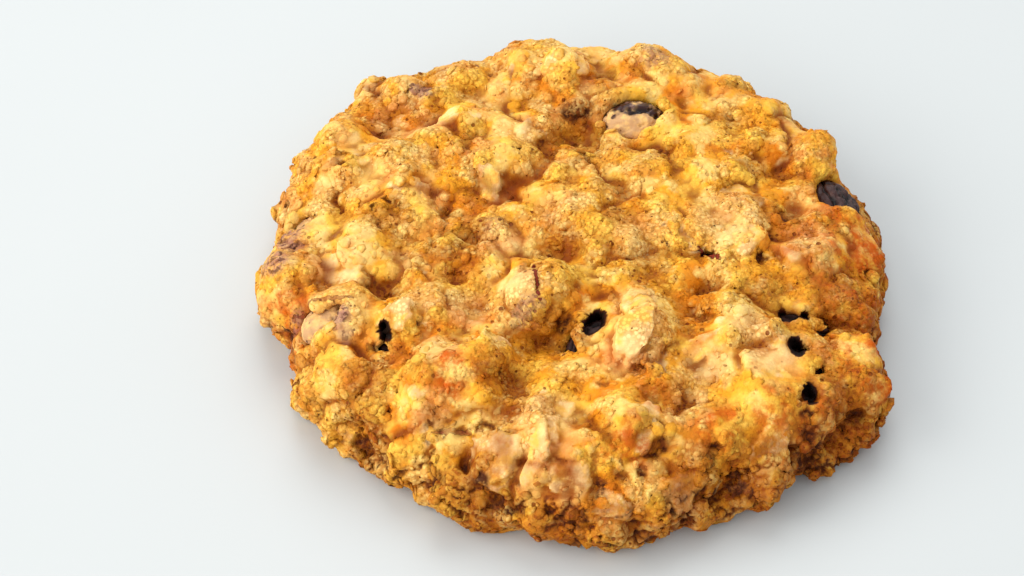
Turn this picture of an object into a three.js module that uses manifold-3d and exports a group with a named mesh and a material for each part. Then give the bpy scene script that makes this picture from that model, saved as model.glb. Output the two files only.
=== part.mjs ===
// An oatmeal raisin cookie: a thick, craggy disc of baked dough, with rolled oat flakes fused into
// its skin and raisins set in pockets of the dough. Millimetres, +Z up. The origin is the middle of
// the flat base that the cookie lies on, and the side at -Y is called the front.
import * as THREE from "three";
import { ImprovedNoise } from "three/addons/math/ImprovedNoise.js";
import { mergeVertices } from "three/addons/utils/BufferGeometryUtils.js";
import Module from "manifold-3d";

// ---- Driving dimensions -------------------------------------------------------------------------

const RADIUS = 37.4; // mean radius of the bare dough, before its clumps
const HEIGHT = 10.9; // bare dough at the middle
const SHOULDER = 8.5; // height at which the top rolls over into the side
const KEEL = 4; // dough modelled below the base, which the flat base cuts off
const FACET_DETAIL = 20; // subdivision of the sphere that becomes the dough

// Half of the bare dough's section, from the middle of the top, over the rim and under the base:
// distance from the axis as a share of the radius, and height.
const SECTION = [
  [0, HEIGHT],
  [0.45, HEIGHT - 0.2],
  [0.78, HEIGHT - 1.1],
  [0.94, SHOULDER],
  [1, SHOULDER * 0.42],
  [0.957, 0],
  [0.7, -KEEL],
  [0, -KEEL],
];
const EDGE_SHARE = 0.56; // share of the section's length from the top's middle to the base edge
const RIM_SHARE = 0.48; // the same to the widest line

const CLUMP_COUNT = 230; // scattered dough clumps over the top and side
const CLUMP_SPREAD = 0.97; // how far down to the base edge their middles lie, as a share
const CLUMP_REACH = [2.2, 4.4]; // smallest and largest radius
const CLUMP_STRAY = 3.4; // how far a clump lies off its even spacing
const CLUMP_RISE = [0.34, 0.66]; // height of a clump for its radius
const CLUMP_FULLNESS = 0.8; // below 1 a clump has a rounder top and steeper sides
const GRAIN_SIZE = 3.4; // wavelength of the fine unevenness
const GRAIN_DEPTH = 0.55;
const GRAIN_BREAK = 0.22; // how far the unevenness breaks up the clumps' round outlines

const FLAKE_COUNT = 34; // scattered oat flakes that stand out of the skin
const FLAKE_FIELD = 36; // radius of the round on the base plane over which they are spread
const FLAKE_START = 170; // direction of the first one, in degrees
const FLAKE_LENGTH = [5.2, 8.2];
const FLAKE_WIDTH = [0.6, 0.82]; // width for the length
const FLAKE_YAW_STEP = 77; // turn from one flake to the next, in degrees
const FLAKE_THICKNESS = 0.8; // an oat flake with its coat of dough
const FLAKE_TAPER = 0.84; // size of the upper face for that of the lower one
const FLAKE_SINK = 0.3; // how deep the middle of a flake lies under the dough's skin
const FLAKE_CURL = 0.4; // how far its long edges turn up, for half its width
const FLAKE_SIDES = 7;
const FLAKE_TILT = 12; // largest lean of a scattered flake, in degrees
const SKIN_STEP = 1.6; // distance over which the slope of the clumped skin is taken

// A raisin is a subdivided sphere. Its pocket, which lies unseen in the dough, is a coarser one,
// larger by a share so that its facets clear the raisin, and by a gap in mm.
const RAISIN_BODY = { facets: 2, slack: 1, gap: 0 };
const POCKET_BODY = { facets: 1, slack: 1.1, gap: 0.32 };
const WRINKLE_SIZE = 2.2;
const WRINKLE_DEPTH = 0.3;
const MOUTH_FLARE = 1.25; // width of a mouth at its outer end for that at the raisin
const MOUTH_LENGTH = 3.5; // how far the shaft that cuts it reaches out of the skin
const MOUTH_SIDES = 9;

// The rim's bulges and dents: direction in degrees from +X, size in mm, half width in degrees.
const RIM_LOBES = [
  [328, 4.5, 14],
  [302, 1.2, 11],
  [272, 2.4, 14],
  [180, 0.4, 10],
  [150, 2.8, 12],
  [127, 5.2, 12],
  [96, 5.0, 15],
  [60, 0.8, 10],
  [1, 1.4, 8],
  [200, -1.4, 8],
  [227, -1.0, 12],
  [347, -2.2, 9],
];

// The broad clumps that give this cookie its look, under the scattered ones: place on the base
// plane, radius, rise.
const NAMED_CLUMPS = [
  { x: 6, y: 2, reach: 11, rise: 1.3 }, // crumbly mound right of the middle
  { x: -4.6, y: -9, reach: 5.2, rise: 2.2 }, // bulge over the middle raisin
  { x: 22.4, y: -23.5, reach: 6.8, rise: 3.0 }, // smooth bulge at the front right
  { x: 20, y: -17, reach: 5.4, rise: 2.0 },
  { x: 5.5, y: -28.5, reach: 7.4, rise: 3.0 }, // broad front clump
  { x: -3.4, y: -31.5, reach: 5, rise: 2.6 },
  { x: -15.6, y: -22.5, reach: 8, rise: 3.0 }, // front left clump
  { x: -19.5, y: -12, reach: 5.4, rise: 1.6 },
  { x: -29.6, y: -11.8, reach: 5.4, rise: 2.0 }, // over the front left raisin
  { x: -36, y: -2, reach: 6.4, rise: 2.0 }, // left lobe
  { x: -29, y: -20.5, reach: 6, rise: 2.0 },
  { x: -26.4, y: 0.5, reach: 5.4, rise: 1.8 },
  { x: -24, y: 13, reach: 7, rise: 1.6 },
  { x: -11, y: 17, reach: 8, rise: 1.5 },
  { x: -3, y: 33, reach: 6.4, rise: 2.2 }, // knob on the far rim
  { x: 12, y: 33, reach: 7.2, rise: 2.0 },
  { x: 23, y: 27, reach: 6.4, rise: 1.8 },
  { x: 17, y: 16, reach: 7.6, rise: 1.4 },
  { x: 30, y: 18, reach: 6, rise: 1.8 },
  { x: 18.6, y: 3, reach: 6.4, rise: 1.6 }, // under the broad flake
  { x: 28.6, y: -1, reach: 6.4, rise: 1.9 }, // plate beside the right raisin
  { x: 36, y: -8, reach: 5.4, rise: 1.6 },
  { x: 34, y: -19, reach: 6, rise: 1.4 },
  { x: 8, y: -15.6, reach: 6.6, rise: 2.2 },
  { x: 14.5, y: -30, reach: 4.6, rise: 1.4 },
  { x: -8, y: -4, reach: 5, rise: 1.0 },
];

// Crevices and pits: place, radius, depth.
const NAMED_PITS = [
  { x: -1.9, y: -2.2, reach: 3.2, depth: 2.4 },
  { x: -2.6, y: -16.4, reach: 4.2, depth: 2.6 },
  { x: -12.4, y: 1, reach: 2.8, depth: 2.2 },
  { x: -15.1, y: -4.7, reach: 3, depth: 1.8 },
  { x: -6.4, y: -22.4, reach: 3.4, depth: 2.8 },
  { x: 8.6, y: -26.4, reach: 2.4, depth: 2.2 },
  { x: 8.8, y: -32, reach: 2.6, depth: 3 },
  { x: 17.5, y: -33.5, reach: 3.2, depth: 3.2 },
  { x: -13, y: -32, reach: 3.2, depth: 2.4 },
  { x: -29, y: -27, reach: 3, depth: 2.4 },
  { x: 1.2, y: 20, reach: 3.4, depth: 2.4 },
  { x: 15.5, y: -7, reach: 3, depth: 1.6 },
  { x: 31, y: -12.5, reach: 4.4, depth: 2.4 },
  { x: 31.5, y: -27, reach: 4, depth: 3.4 },
];

// Flakes that stand out: place, length, width, the way the length points and the lean, in degrees.
// Lean turns the flake up at its near side, and side rolls it about its length.
const NAMED_FLAKES = [
  { x: 18.9, y: 2.6, length: 10, width: 7.6, yaw: 20, lean: 6, side: 10 },
  { x: 28.6, y: -0.6, length: 9, width: 7, yaw: 80, lean: 8, side: -12 },
  { x: 6, y: -16, length: 9.6, width: 4.6, yaw: 76, lean: 4, side: -24 },
  { x: 8.6, y: -12.4, length: 6.4, width: 3.8, yaw: 50, lean: -8, side: 20 },
  { x: -5.2, y: -33, length: 10, width: 5, yaw: 88, lean: 6, side: -30 },
  { x: 1.2, y: -35.4, length: 8, width: 6, yaw: 95, lean: 0, side: 14 },
  { x: 3, y: -37.6, length: 6, width: 4.2, yaw: 0, lean: -6, side: 0 },
  { x: -10, y: -34, length: 7.6, width: 5.4, yaw: 70, lean: 4, side: 16 },
  { x: 11.6, y: -34, length: 7.4, width: 5.2, yaw: 10, lean: -14, side: 0 },
  { x: -26.8, y: -1.8, length: 7.6, width: 5.2, yaw: 40, lean: 10, side: 16 },
  { x: -22.4, y: -14, length: 5.6, width: 5, yaw: 20, lean: 4, side: -10 },
  { x: -19, y: -10.6, length: 7.4, width: 5.6, yaw: 30, lean: 4, side: 12 },
  { x: 24.4, y: -15.6, length: 6.6, width: 5, yaw: 60, lean: 6, side: 12 },
  { x: -30.5, y: 12.4, length: 7.2, width: 5, yaw: 10, lean: 8, side: 22 },
];

// Raisins: the place of the middle on the base plane, how deep the top lies under the clumped
// skin, length, width and thickness, the way the length points in degrees, and the mouths
// in the dough through which each one shows: offsets along and across the raisin and two radii.
// A raisin that stands out of the skin needs no mouth.
const RAISINS = {
  raisin_back: {
    x: 8, y: 23, sink: -1.5, size: [8.6, 6.8, 5.6], yaw: 8,
    mouths: [],
  },
  raisin_right: {
    x: 33.4, y: 9.6, sink: -1.6, size: [9, 6.6, 6], yaw: 118,
    mouths: [],
  },
  raisin_left: {
    x: -35.2, y: 4.6, sink: 0.5, size: [8.8, 6, 5.2], yaw: 70,
    mouths: [[2, 0.4, 1.3, 1], [-2.2, 0.6, 1.1, 0.9]],
  },
  raisin_front_left: {
    x: -29.6, y: -11.4, sink: 1, size: [8.6, 6, 4.8], yaw: 15,
    mouths: [[1, -0.2, 1.1, 0.8], [-2.8, 0.4, 0.5, 1.2]],
  },
  raisin_left_pit: {
    x: -22.8, y: -15.2, sink: 1.4, size: [8, 5.4, 4.8], yaw: 70,
    mouths: [[-0.2, 0, 1.5, 0.8]],
  },
  raisin_middle: {
    x: -4.9, y: -9, sink: 1, size: [7.8, 5.4, 4.4], yaw: 84,
    mouths: [[0.2, 0, 2.6, 0.3]],
  },
  raisin_crater: {
    x: 1.9, y: -14.6, sink: 1.6, size: [8.6, 5.6, 4.6], yaw: 52,
    mouths: [[0, 0, 1.9, 1]],
  },
  raisin_crevice: {
    x: 26.8, y: -11.4, sink: 1.3, size: [8.2, 5.4, 4.6], yaw: -8,
    mouths: [[-1.4, 0, 1, 0.7], [1.7, -0.2, 0.9, 0.7]],
  },
  raisin_seam: {
    x: 27.2, y: -19.6, sink: 1.5, size: [9.4, 4.8, 4.6], yaw: 100,
    mouths: [[2.6, 0, 0.9, 0.6], [-2.6, 0, 1.1, 0.6]],
  },
  raisin_flake_edge: {
    x: 16.4, y: -2.4, sink: 1, size: [8, 5.6, 4.4], yaw: -14,
    mouths: [[0, 0.2, 1.9, 0.4]],
  },
};

// ---- The dough's bare form ----------------------------------------------------------------------

const GOLDEN_ANGLE = Math.PI * (3 - Math.sqrt(5));
const GOLDEN_SHARE = (Math.sqrt(5) - 1) / 2;
const UP = new THREE.Vector3(0, 0, 1);
const noise = new ImprovedNoise();
THREE.MathUtils.seededRandom(20);
const random = () => THREE.MathUtils.seededRandom();
const between = ([low, high]) => THREE.MathUtils.lerp(low, high, random());

const section = new THREE.SplineCurve(
  SECTION.map(([out, up]) => new THREE.Vector2(out * RADIUS, up)),
);

// The smallest turn between two directions, in degrees.
function turnBetween(a, b) {
  return Math.abs(THREE.MathUtils.euclideanModulo(a - b + 180, 360) - 180);
}

// How much wider or narrower the rim is in a direction, as a share of the radius.
function rimShare(direction) {
  const degrees = THREE.MathUtils.radToDeg(direction);
  let extra = 0;
  for (const [towards, size, halfWidth] of RIM_LOBES) {
    const away = turnBetween(degrees, towards) / halfWidth;
    extra += size * Math.exp(-away * away);
  }
  return extra / RADIUS;
}

// A point of the bare dough and its outward normal: share runs from 0 at the top's middle to 1
// under the base, and direction is about +Z.
function bareSkin(share, direction) {
  const at = section.getPointAt(share);
  const along = section.getTangentAt(share);
  const spread = 1 + rimShare(direction) * (at.x / RADIUS) ** 2;
  const outwards = new THREE.Vector3(Math.cos(direction), Math.sin(direction), 0);
  return {
    point: outwards.clone().multiplyScalar(at.x * spread).setZ(at.y),
    normal: outwards.clone().multiplyScalar(-along.y).setZ(along.x).normalize(),
  };
}

// The bare skin straight above a place on the base plane, found by halving the section.
function skinOver({ x, y }) {
  const direction = Math.atan2(y, x);
  let low = 0;
  let high = RIM_SHARE;
  while (high - low > 1e-6) {
    const middle = (low + high) / 2;
    const { point } = bareSkin(middle, direction);
    if (Math.hypot(point.x, point.y) < Math.hypot(x, y)) low = middle;
    else high = middle;
  }
  return bareSkin(low, direction);
}

// ---- Clumps and pits ----------------------------------------------------------------------------

function scatteredClumps() {
  return Array.from({ length: CLUMP_COUNT }, (_, i) => {
    const share = EDGE_SHARE * Math.min(Math.sqrt((i + 0.5) / CLUMP_COUNT), CLUMP_SPREAD);
    const reach = between(CLUMP_REACH);
    const centre = bareSkin(share, i * GOLDEN_ANGLE).point;
    centre.x += between([-CLUMP_STRAY, CLUMP_STRAY]);
    centre.y += between([-CLUMP_STRAY, CLUMP_STRAY]);
    return { centre, reach, rise: reach * between(CLUMP_RISE) };
  });
}

const smallClumps = scatteredClumps();
const broadClumps = NAMED_CLUMPS.map((clump) => ({ ...clump, centre: skinOver(clump).point }));
const pits = NAMED_PITS.map((pit) => ({ ...pit, centre: skinOver(pit).point }));

// A round cap of height 1 at its middle, which meets the skin steeply at its edge.
function cap(away) {
  return away < 1 ? (1 - away * away) ** CLUMP_FULLNESS : 0;
}

// How far the clumped skin stands out of the bare dough at a point.
function relief(point) {
  const grain = noise.noise(
    point.x / GRAIN_SIZE,
    point.y / GRAIN_SIZE,
    point.z / GRAIN_SIZE,
  );
  const highest = (heap) =>
    Math.max(
      ...heap.map(({ centre, reach, rise }) => {
        const away = (point.distanceTo(centre) / reach) * (1 + GRAIN_BREAK * grain);
        return rise * cap(away);
      }),
    );
  let rise = highest(broadClumps) + highest(smallClumps);
  for (const { centre, reach, depth } of pits) {
    rise -= depth * cap(point.distanceTo(centre) / reach) ** 2;
  }
  return rise + GRAIN_DEPTH * grain;
}

// The clumped skin's point over a place of the bare dough.
function clumpedPoint({ point, normal }) {
  return point.clone().addScaledVector(normal, relief(point));
}

// The clumped skin's point and slope over a place of the bare dough, for what lies on it.
function clumpedSkin({ point, normal }) {
  const across = new THREE.Vector3(-point.y, point.x, 0).normalize();
  const along = across.clone().cross(normal);
  const beside = (way, step) =>
    clumpedPoint({ point: point.clone().addScaledVector(way, step), normal });
  const slopeAlong = beside(along, SKIN_STEP).sub(beside(along, -SKIN_STEP));
  const slopeAcross = beside(across, SKIN_STEP).sub(beside(across, -SKIN_STEP));
  return {
    point: clumpedPoint({ point, normal }),
    normal: slopeAlong.cross(slopeAcross).normalize(),
  };
}

// ---- Solids -------------------------------------------------------------------------------------

const wasm = await Module();
wasm.setup();

// A closed three.js geometry as a manifold-3d solid.
function solid(geometry) {
  const bare = geometry.index ? geometry.toNonIndexed() : geometry.clone();
  const merged = mergeVertices(
    new THREE.BufferGeometry().setAttribute("position", bare.getAttribute("position")),
    1e-3,
  );
  return new wasm.Manifold(
    new wasm.Mesh({
      numProp: 3,
      vertProperties: merged.getAttribute("position").array,
      triVerts: new Uint32Array(merged.index.array),
    }),
  );
}

// A manifold-3d solid as a three.js geometry.
function geometryOf(body) {
  const { vertProperties, triVerts } = body.getMesh();
  const geometry = new THREE.BufferGeometry();
  geometry.setAttribute("position", new THREE.BufferAttribute(vertProperties, 3));
  geometry.setIndex(new THREE.BufferAttribute(triVerts, 1));
  geometry.computeVertexNormals();
  return geometry;
}

// Moves every vertex of a geometry to where a function sends it.
function reshape(geometry, move) {
  const position = geometry.getAttribute("position");
  const point = new THREE.Vector3();
  for (let i = 0; i < position.count; i++) {
    move(point.fromBufferAttribute(position, i));
    position.setXYZ(i, point.x, point.y, point.z);
  }
  return geometry;
}

// The dough: a sphere whose directions become places on the cookie's section, then clumped.
function doughSolid() {
  const sphere = new THREE.IcosahedronGeometry(1, FACET_DETAIL);
  const dough = reshape(sphere, (point) => {
    const share = point.angleTo(UP) / Math.PI;
    const skin = bareSkin(share, Math.atan2(point.y, point.x));
    point.copy(share < EDGE_SHARE ? clumpedPoint(skin) : skin.point);
  });
  return solid(dough);
}

// Everything under the base plane.
function belowBase() {
  const size = 3 * RADIUS;
  return solid(new THREE.BoxGeometry(size, size, size).translate(0, 0, -size / 2));
}

// An oat flake lying flat: a thin oval with a thinner rim, its long edges turned up a little.
function flakeGeometry(length, width) {
  const flake = new THREE.CylinderGeometry(
    0.5 * FLAKE_TAPER,
    0.5,
    FLAKE_THICKNESS,
    FLAKE_SIDES,
  );
  flake.rotateX(Math.PI / 2).scale(length, width, 1);
  return reshape(flake, (point) => {
    point.z += FLAKE_CURL * ((2 * point.y) / width) ** 2 - FLAKE_SINK;
  });
}

// Turns a flat piece so that it lies on the skin, then places it there.
function layOn(geometry, point, normal, { yaw, lean = 0, side = 0 }) {
  const turn = new THREE.Quaternion()
    .setFromUnitVectors(UP, normal)
    .multiply(new THREE.Quaternion().setFromAxisAngle(UP, yaw))
    .multiply(new THREE.Quaternion().setFromEuler(new THREE.Euler(side, lean, 0)));
  return geometry.applyQuaternion(turn).translate(point.x, point.y, point.z);
}

function namedFlake({ x, y, length, width, yaw, lean, side }) {
  const { point, normal } = clumpedSkin(skinOver({ x, y }));
  const angles = { yaw, lean, side };
  for (const name in angles) angles[name] = THREE.MathUtils.degToRad(angles[name]);
  return solid(layOn(flakeGeometry(length, width), point, normal, angles));
}

// The scattered flakes lie on a sunflower's spiral, and sizes and turns run on evenly with it.
function scatteredFlake(i) {
  const out = FLAKE_FIELD * Math.sqrt((i + 0.5) / FLAKE_COUNT);
  const direction = THREE.MathUtils.degToRad(FLAKE_START) + i * GOLDEN_ANGLE;
  const step = (i * GOLDEN_SHARE) % 1;
  const length = THREE.MathUtils.lerp(...FLAKE_LENGTH, step);
  return namedFlake({
    x: out * Math.cos(direction),
    y: out * Math.sin(direction),
    length,
    width: length * THREE.MathUtils.lerp(...FLAKE_WIDTH, 1 - step),
    yaw: i * FLAKE_YAW_STEP,
    lean: FLAKE_TILT * Math.sin(i),
    side: FLAKE_TILT * Math.cos(i),
  });
}

// A raisin's own frame: its middle under the skin, its length turned by yaw.
function raisinFrame({ x, y, sink, size, yaw }) {
  const skin = skinOver({ x, y });
  const middle = clumpedPoint(skin).addScaledVector(skin.normal, -sink - size[2] / 2);
  return { middle, normal: skin.normal, angles: { yaw: THREE.MathUtils.degToRad(yaw) } };
}

// A raisin's wrinkled body, or the body that cuts its pocket.
function raisinGeometry(raisin, { facets, slack, gap }) {
  const { middle, normal, angles } = raisinFrame(raisin);
  const body = new THREE.IcosahedronGeometry(0.5, facets);
  reshape(body, (point) => {
    point.multiply(new THREE.Vector3(...raisin.size)).multiplyScalar(slack);
    const wrinkle = noise.noise(
      (point.x + raisin.x) / WRINKLE_SIZE,
      point.y / WRINKLE_SIZE,
      (point.z + raisin.y) / WRINKLE_SIZE,
    );
    point.setLength(point.length() + gap + WRINKLE_DEPTH * wrinkle);
  });
  return layOn(body, middle, normal, angles);
}

// The openings through the dough over a raisin: short oval shafts that widen outwards.
function mouthSolids(raisin) {
  const { middle, normal, angles } = raisinFrame(raisin);
  const rise = raisin.size[2] / 2 + Math.max(raisin.sink, 0) + MOUTH_LENGTH;
  return raisin.mouths.map(([along, across, halfLength, halfWidth]) => {
    const shaft = new THREE.CylinderGeometry(MOUTH_FLARE, 1, rise, MOUTH_SIDES);
    shaft.rotateX(Math.PI / 2).translate(0, 0, rise / 2);
    shaft.scale(halfLength, halfWidth, 1).translate(along, across, 0);
    return solid(layOn(shaft, middle, normal, angles));
  });
}

function cookieSolid() {
  let cookie = doughSolid();
  for (const flake of NAMED_FLAKES) cookie = cookie.add(namedFlake(flake));
  for (let i = 0; i < FLAKE_COUNT; i++) cookie = cookie.add(scatteredFlake(i));
  cookie = cookie.subtract(belowBase());
  for (const raisin of Object.values(RAISINS)) {
    cookie = cookie.subtract(solid(raisinGeometry(raisin, POCKET_BODY)));
    for (const mouth of mouthSolids(raisin)) cookie = cookie.subtract(mouth);
  }
  const bodies = cookie.decompose();
  return bodies.sort((a, b) => b.volume() - a.volume())[0];
}

// ---- The part -----------------------------------------------------------------------------------

const doughMaterial = new THREE.MeshStandardMaterial({
  name: "dough",
  color: new THREE.Color(0.83, 0.58, 0.28),
  roughness: 0.75,
  metalness: 0,
});
const raisinMaterial = new THREE.MeshStandardMaterial({
  name: "raisin",
  color: new THREE.Color(0.14, 0.07, 0.09),
  roughness: 0.4,
  metalness: 0,
});

function named(name, geometry, material) {
  const mesh = new THREE.Mesh(geometry, material);
  mesh.name = name;
  return mesh;
}

const cookie = new THREE.Group();
cookie.add(named("cookie", geometryOf(cookieSolid()), doughMaterial));
for (const [name, raisin] of Object.entries(RAISINS)) {
  cookie.add(named(name, raisinGeometry(raisin, RAISIN_BODY), raisinMaterial));
}

export default cookie;
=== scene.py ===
# %% [markdown]
# # An oatmeal raisin cookie
# The frame holds the cookie as plain solids: one body of dough, whose clumps, crevices and oat
# flakes are coarse facets, and ten raisins in pockets of the dough. This script gives each of them
# the surface of the real thing. Lengths are written in millimetres, as a baker or a model maker
# would say them, and turned into metres where Blender's meshes are filled in.

# %% Load the frame
from math import cos, pi, radians, sin

import bmesh
import bpy
import numpy as np
from mathutils import Matrix, Vector, noise
from mathutils.bvhtree import BVHTree
from mathutils.kdtree import KDTree


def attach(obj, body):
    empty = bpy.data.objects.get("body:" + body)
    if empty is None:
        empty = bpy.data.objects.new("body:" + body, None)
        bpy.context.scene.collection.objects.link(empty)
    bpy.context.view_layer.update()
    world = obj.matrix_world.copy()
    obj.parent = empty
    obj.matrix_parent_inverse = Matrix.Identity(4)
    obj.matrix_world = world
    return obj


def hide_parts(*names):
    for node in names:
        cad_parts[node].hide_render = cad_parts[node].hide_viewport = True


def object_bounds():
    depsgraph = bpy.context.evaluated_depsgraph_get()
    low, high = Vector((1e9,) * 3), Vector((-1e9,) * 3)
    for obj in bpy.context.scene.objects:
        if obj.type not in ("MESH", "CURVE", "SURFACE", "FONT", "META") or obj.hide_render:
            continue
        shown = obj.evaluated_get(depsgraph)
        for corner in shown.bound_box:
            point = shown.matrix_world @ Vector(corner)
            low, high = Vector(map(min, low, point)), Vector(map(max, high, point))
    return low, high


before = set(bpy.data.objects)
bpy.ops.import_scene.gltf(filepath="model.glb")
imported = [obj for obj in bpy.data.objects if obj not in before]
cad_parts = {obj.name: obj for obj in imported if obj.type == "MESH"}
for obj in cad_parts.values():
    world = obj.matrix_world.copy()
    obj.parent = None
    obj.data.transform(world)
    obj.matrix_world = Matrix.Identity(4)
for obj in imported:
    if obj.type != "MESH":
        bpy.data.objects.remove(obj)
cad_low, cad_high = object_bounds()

MM = 0.001
RAISINS = sorted(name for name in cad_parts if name.startswith("raisin"))
print("cookie", [round(side / MM, 1) for side in cad_high - cad_low], "mm,", len(RAISINS), "raisins")

# %% [markdown]
# ## The camera
# A cookie on a tray is usually seen the way a person at the table sees it, from the front and well
# above. The camera stands 350 mm away, close enough for a little perspective, and looks down at 47
# degrees. Placing it by an angle and a distance from the point that it looks at is easier to
# change than three coordinates and three turns.

# %% Camera
scene = bpy.context.scene
LOOK_AT = Vector((-8.0, 2.95, 0.0)) * MM
CAMERA_DISTANCE = 350 * MM
CAMERA_ELEVATION = radians(47)
LENS = 96.9
NEAREST_SEEN = 10 * MM

camera = bpy.data.objects.new("camera", bpy.data.cameras.new("camera"))
scene.collection.objects.link(camera)
camera.data.lens = LENS
camera.data.clip_start = NEAREST_SEEN
camera.location = LOOK_AT + CAMERA_DISTANCE * Vector(
    (0, -cos(CAMERA_ELEVATION), sin(CAMERA_ELEVATION))
)
camera.rotation_euler = (pi / 2 - CAMERA_ELEVATION, 0, 0)
scene.camera = camera
print("camera at", [round(value / MM) for value in camera.location], "mm")

# %% [markdown]
# ## The light
# Soft daylight falls from the left, as from a large window, so the clumps shade each other a
# little and a faint shadow lies on the right. Two wide, weak lamps stand for the rest of the room:
# one behind keeps the far rim bright, and one low in front on the left reaches into the side. The
# world is a pale sky that fills the other shadows. The Standard view transform keeps the bright,
# clear colours that baked food has in daylight.

# %% Light
scene.view_settings.view_transform = "Standard"
SKY = (0.94, 0.975, 1.0, 1)
SKY_STRENGTH = 0.9
DAYLIGHT = (1.0, 0.97, 0.92)
CEILING_LIGHT = (0.98, 1.0, 1.0)
# Each lamp: its name, its place and its width in mm, its power in watts and its colour.
LAMPS = [
    ("window", (-820, -60, 620), 760, 5.9, DAYLIGHT),
    ("ceiling", (0, 480, 620), 640, 2.4, CEILING_LIGHT),
    ("fill", (-560, -560, 240), 600, 3.8, DAYLIGHT),
]

world = bpy.data.worlds.new("pale_sky")
scene.world = world
world.use_nodes = True
world.node_tree.nodes["Background"].inputs["Color"].default_value = SKY
world.node_tree.nodes["Background"].inputs["Strength"].default_value = SKY_STRENGTH
for name, place, width, power, colour in LAMPS:
    lamp = bpy.data.lights.new(name, "AREA")
    lamp.shape = "DISK"
    lamp.size = width * MM
    lamp.energy = power
    lamp.color = colour
    thing = bpy.data.objects.new(name, lamp)
    scene.collection.objects.link(thing)
    thing.location = Vector(place) * MM
    thing.rotation_euler = (-thing.location).to_track_quat("-Z", "Y").to_euler()

# %% [markdown]
# ## Helpers for materials
# Every finish here is a small graph of nodes. `node` makes one node, sets its options, and fills its
# inputs with a number or with the output of another node, so that a recipe reads from top to
# bottom. Patterns are measured in millimetres on the object's own coordinates, so they stay in
# place and at the right scale whatever the mesh under them is.

# %% Material helpers
MIX_SHARE, MIX_FIRST, MIX_SECOND, MIX_RESULT = 0, 6, 7, 2


def srgb(red, green, blue):
    """A screen colour of 0 to 255 as the linear colour that a shader takes."""
    linear = [
        (value / 255 / 12.92) if value <= 10 else ((value / 255 + 0.055) / 1.055) ** 2.4
        for value in (red, green, blue)
    ]
    return (*linear, 1.0)


def node(tree, kind, inputs=None, **settings):
    made = tree.nodes.new(kind)
    for name, value in settings.items():
        setattr(made, name, value)
    for name, value in (inputs or {}).items():
        if isinstance(value, bpy.types.NodeSocket):
            tree.links.new(value, made.inputs[name])
        else:
            made.inputs[name].default_value = value
    return made


def own_places(tree, size, shift=(0, 0, 0)):
    """The object's own coordinates in steps of size mm, shifted by some steps."""
    scale = 1 / (size * MM)
    return node(
        tree,
        "ShaderNodeMapping",
        {
            "Vector": node(tree, "ShaderNodeTexCoord").outputs["Object"],
            "Location": shift,
            "Scale": (scale, scale, scale),
        },
    ).outputs["Vector"]


def pattern(tree, size, detail=2.0, roughness=0.5, shift=(0, 0, 0)):
    """Noise from about 0.25 to 0.75 whose blobs are size mm wide."""
    inputs = {
        "Vector": own_places(tree, size, shift),
        "Scale": 1.0,
        "Detail": detail,
        "Roughness": roughness,
    }
    return node(tree, "ShaderNodeTexNoise", inputs).outputs["Fac"]


def blend(tree, share, first, second, way="MIX"):
    made = node(tree, "ShaderNodeMix", data_type="RGBA", blend_type=way)
    for index, value in ((MIX_SHARE, share), (MIX_FIRST, first), (MIX_SECOND, second)):
        if isinstance(value, bpy.types.NodeSocket):
            tree.links.new(value, made.inputs[index])
        else:
            made.inputs[index].default_value = value
    return made.outputs[MIX_RESULT]


def new_material(name):
    material = bpy.data.materials.new(name)
    material.use_nodes = True
    tree = material.node_tree
    return material, tree, tree.nodes["Principled BSDF"]


# %% [markdown]
# ## The surface that it lies on
# A smooth, white, slightly glossy tray. It isn't part of the cookie, so it is staged.

# %% Tray
TRAY_REACH = 2500
TRAY_DULLNESS = 0.45
TRAY_WHITE = srgb(192, 195, 195)
TRAY_FAINTLY_GREY = srgb(188, 191, 191)

tray_shape = bmesh.new()
bmesh.ops.create_grid(tray_shape, x_segments=1, y_segments=1, size=TRAY_REACH * MM)
tray_mesh = bpy.data.meshes.new("tray")
tray_shape.to_mesh(tray_mesh)
tray_shape.free()
tray = bpy.data.objects.new("tray", tray_mesh)
scene.collection.objects.link(tray)
tray_material, tree, shader = new_material("white_tray")
shader.inputs["Roughness"].default_value = TRAY_DULLNESS
faint = blend(tree, pattern(tree, 60, detail=1), TRAY_FAINTLY_GREY, TRAY_WHITE)
tree.links.new(faint, shader.inputs["Base Color"])
tray_mesh.materials.append(tray_material)
print("tray", TRAY_REACH * 2, "mm wide")

# %% [markdown]
# ## Where things can lie
# Lumps, flakes and crumbs belong on the outside of the dough, and not over the mouths in which a
# raisin shows. So places are found as a hand would drop things: a ray falls on the cookie from
# above or from the side, and counts only if it meets dough before it meets a raisin, and with no
# raisin close by.

# %% Finding places
DROP_FROM = 60
REACH = 43
SIDE_HEIGHTS = (0.8, 10.5)


def copy_of(node_name):
    """A CAD node's mesh as one closed bmesh, its loose triangles merged."""
    shape = bmesh.new()
    shape.from_mesh(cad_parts[node_name].data)
    bmesh.ops.remove_doubles(shape, verts=shape.verts, dist=0.002 * MM)
    return shape


dough_shape = copy_of("cookie")
bare_dough = BVHTree.FromBMesh(dough_shape)
raisin_shape = bmesh.new()
for name in RAISINS:
    raisin_shape.from_mesh(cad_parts[name].data)
raisin_tree = BVHTree.FromBMesh(raisin_shape)
raisin_shape.free()


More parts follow.
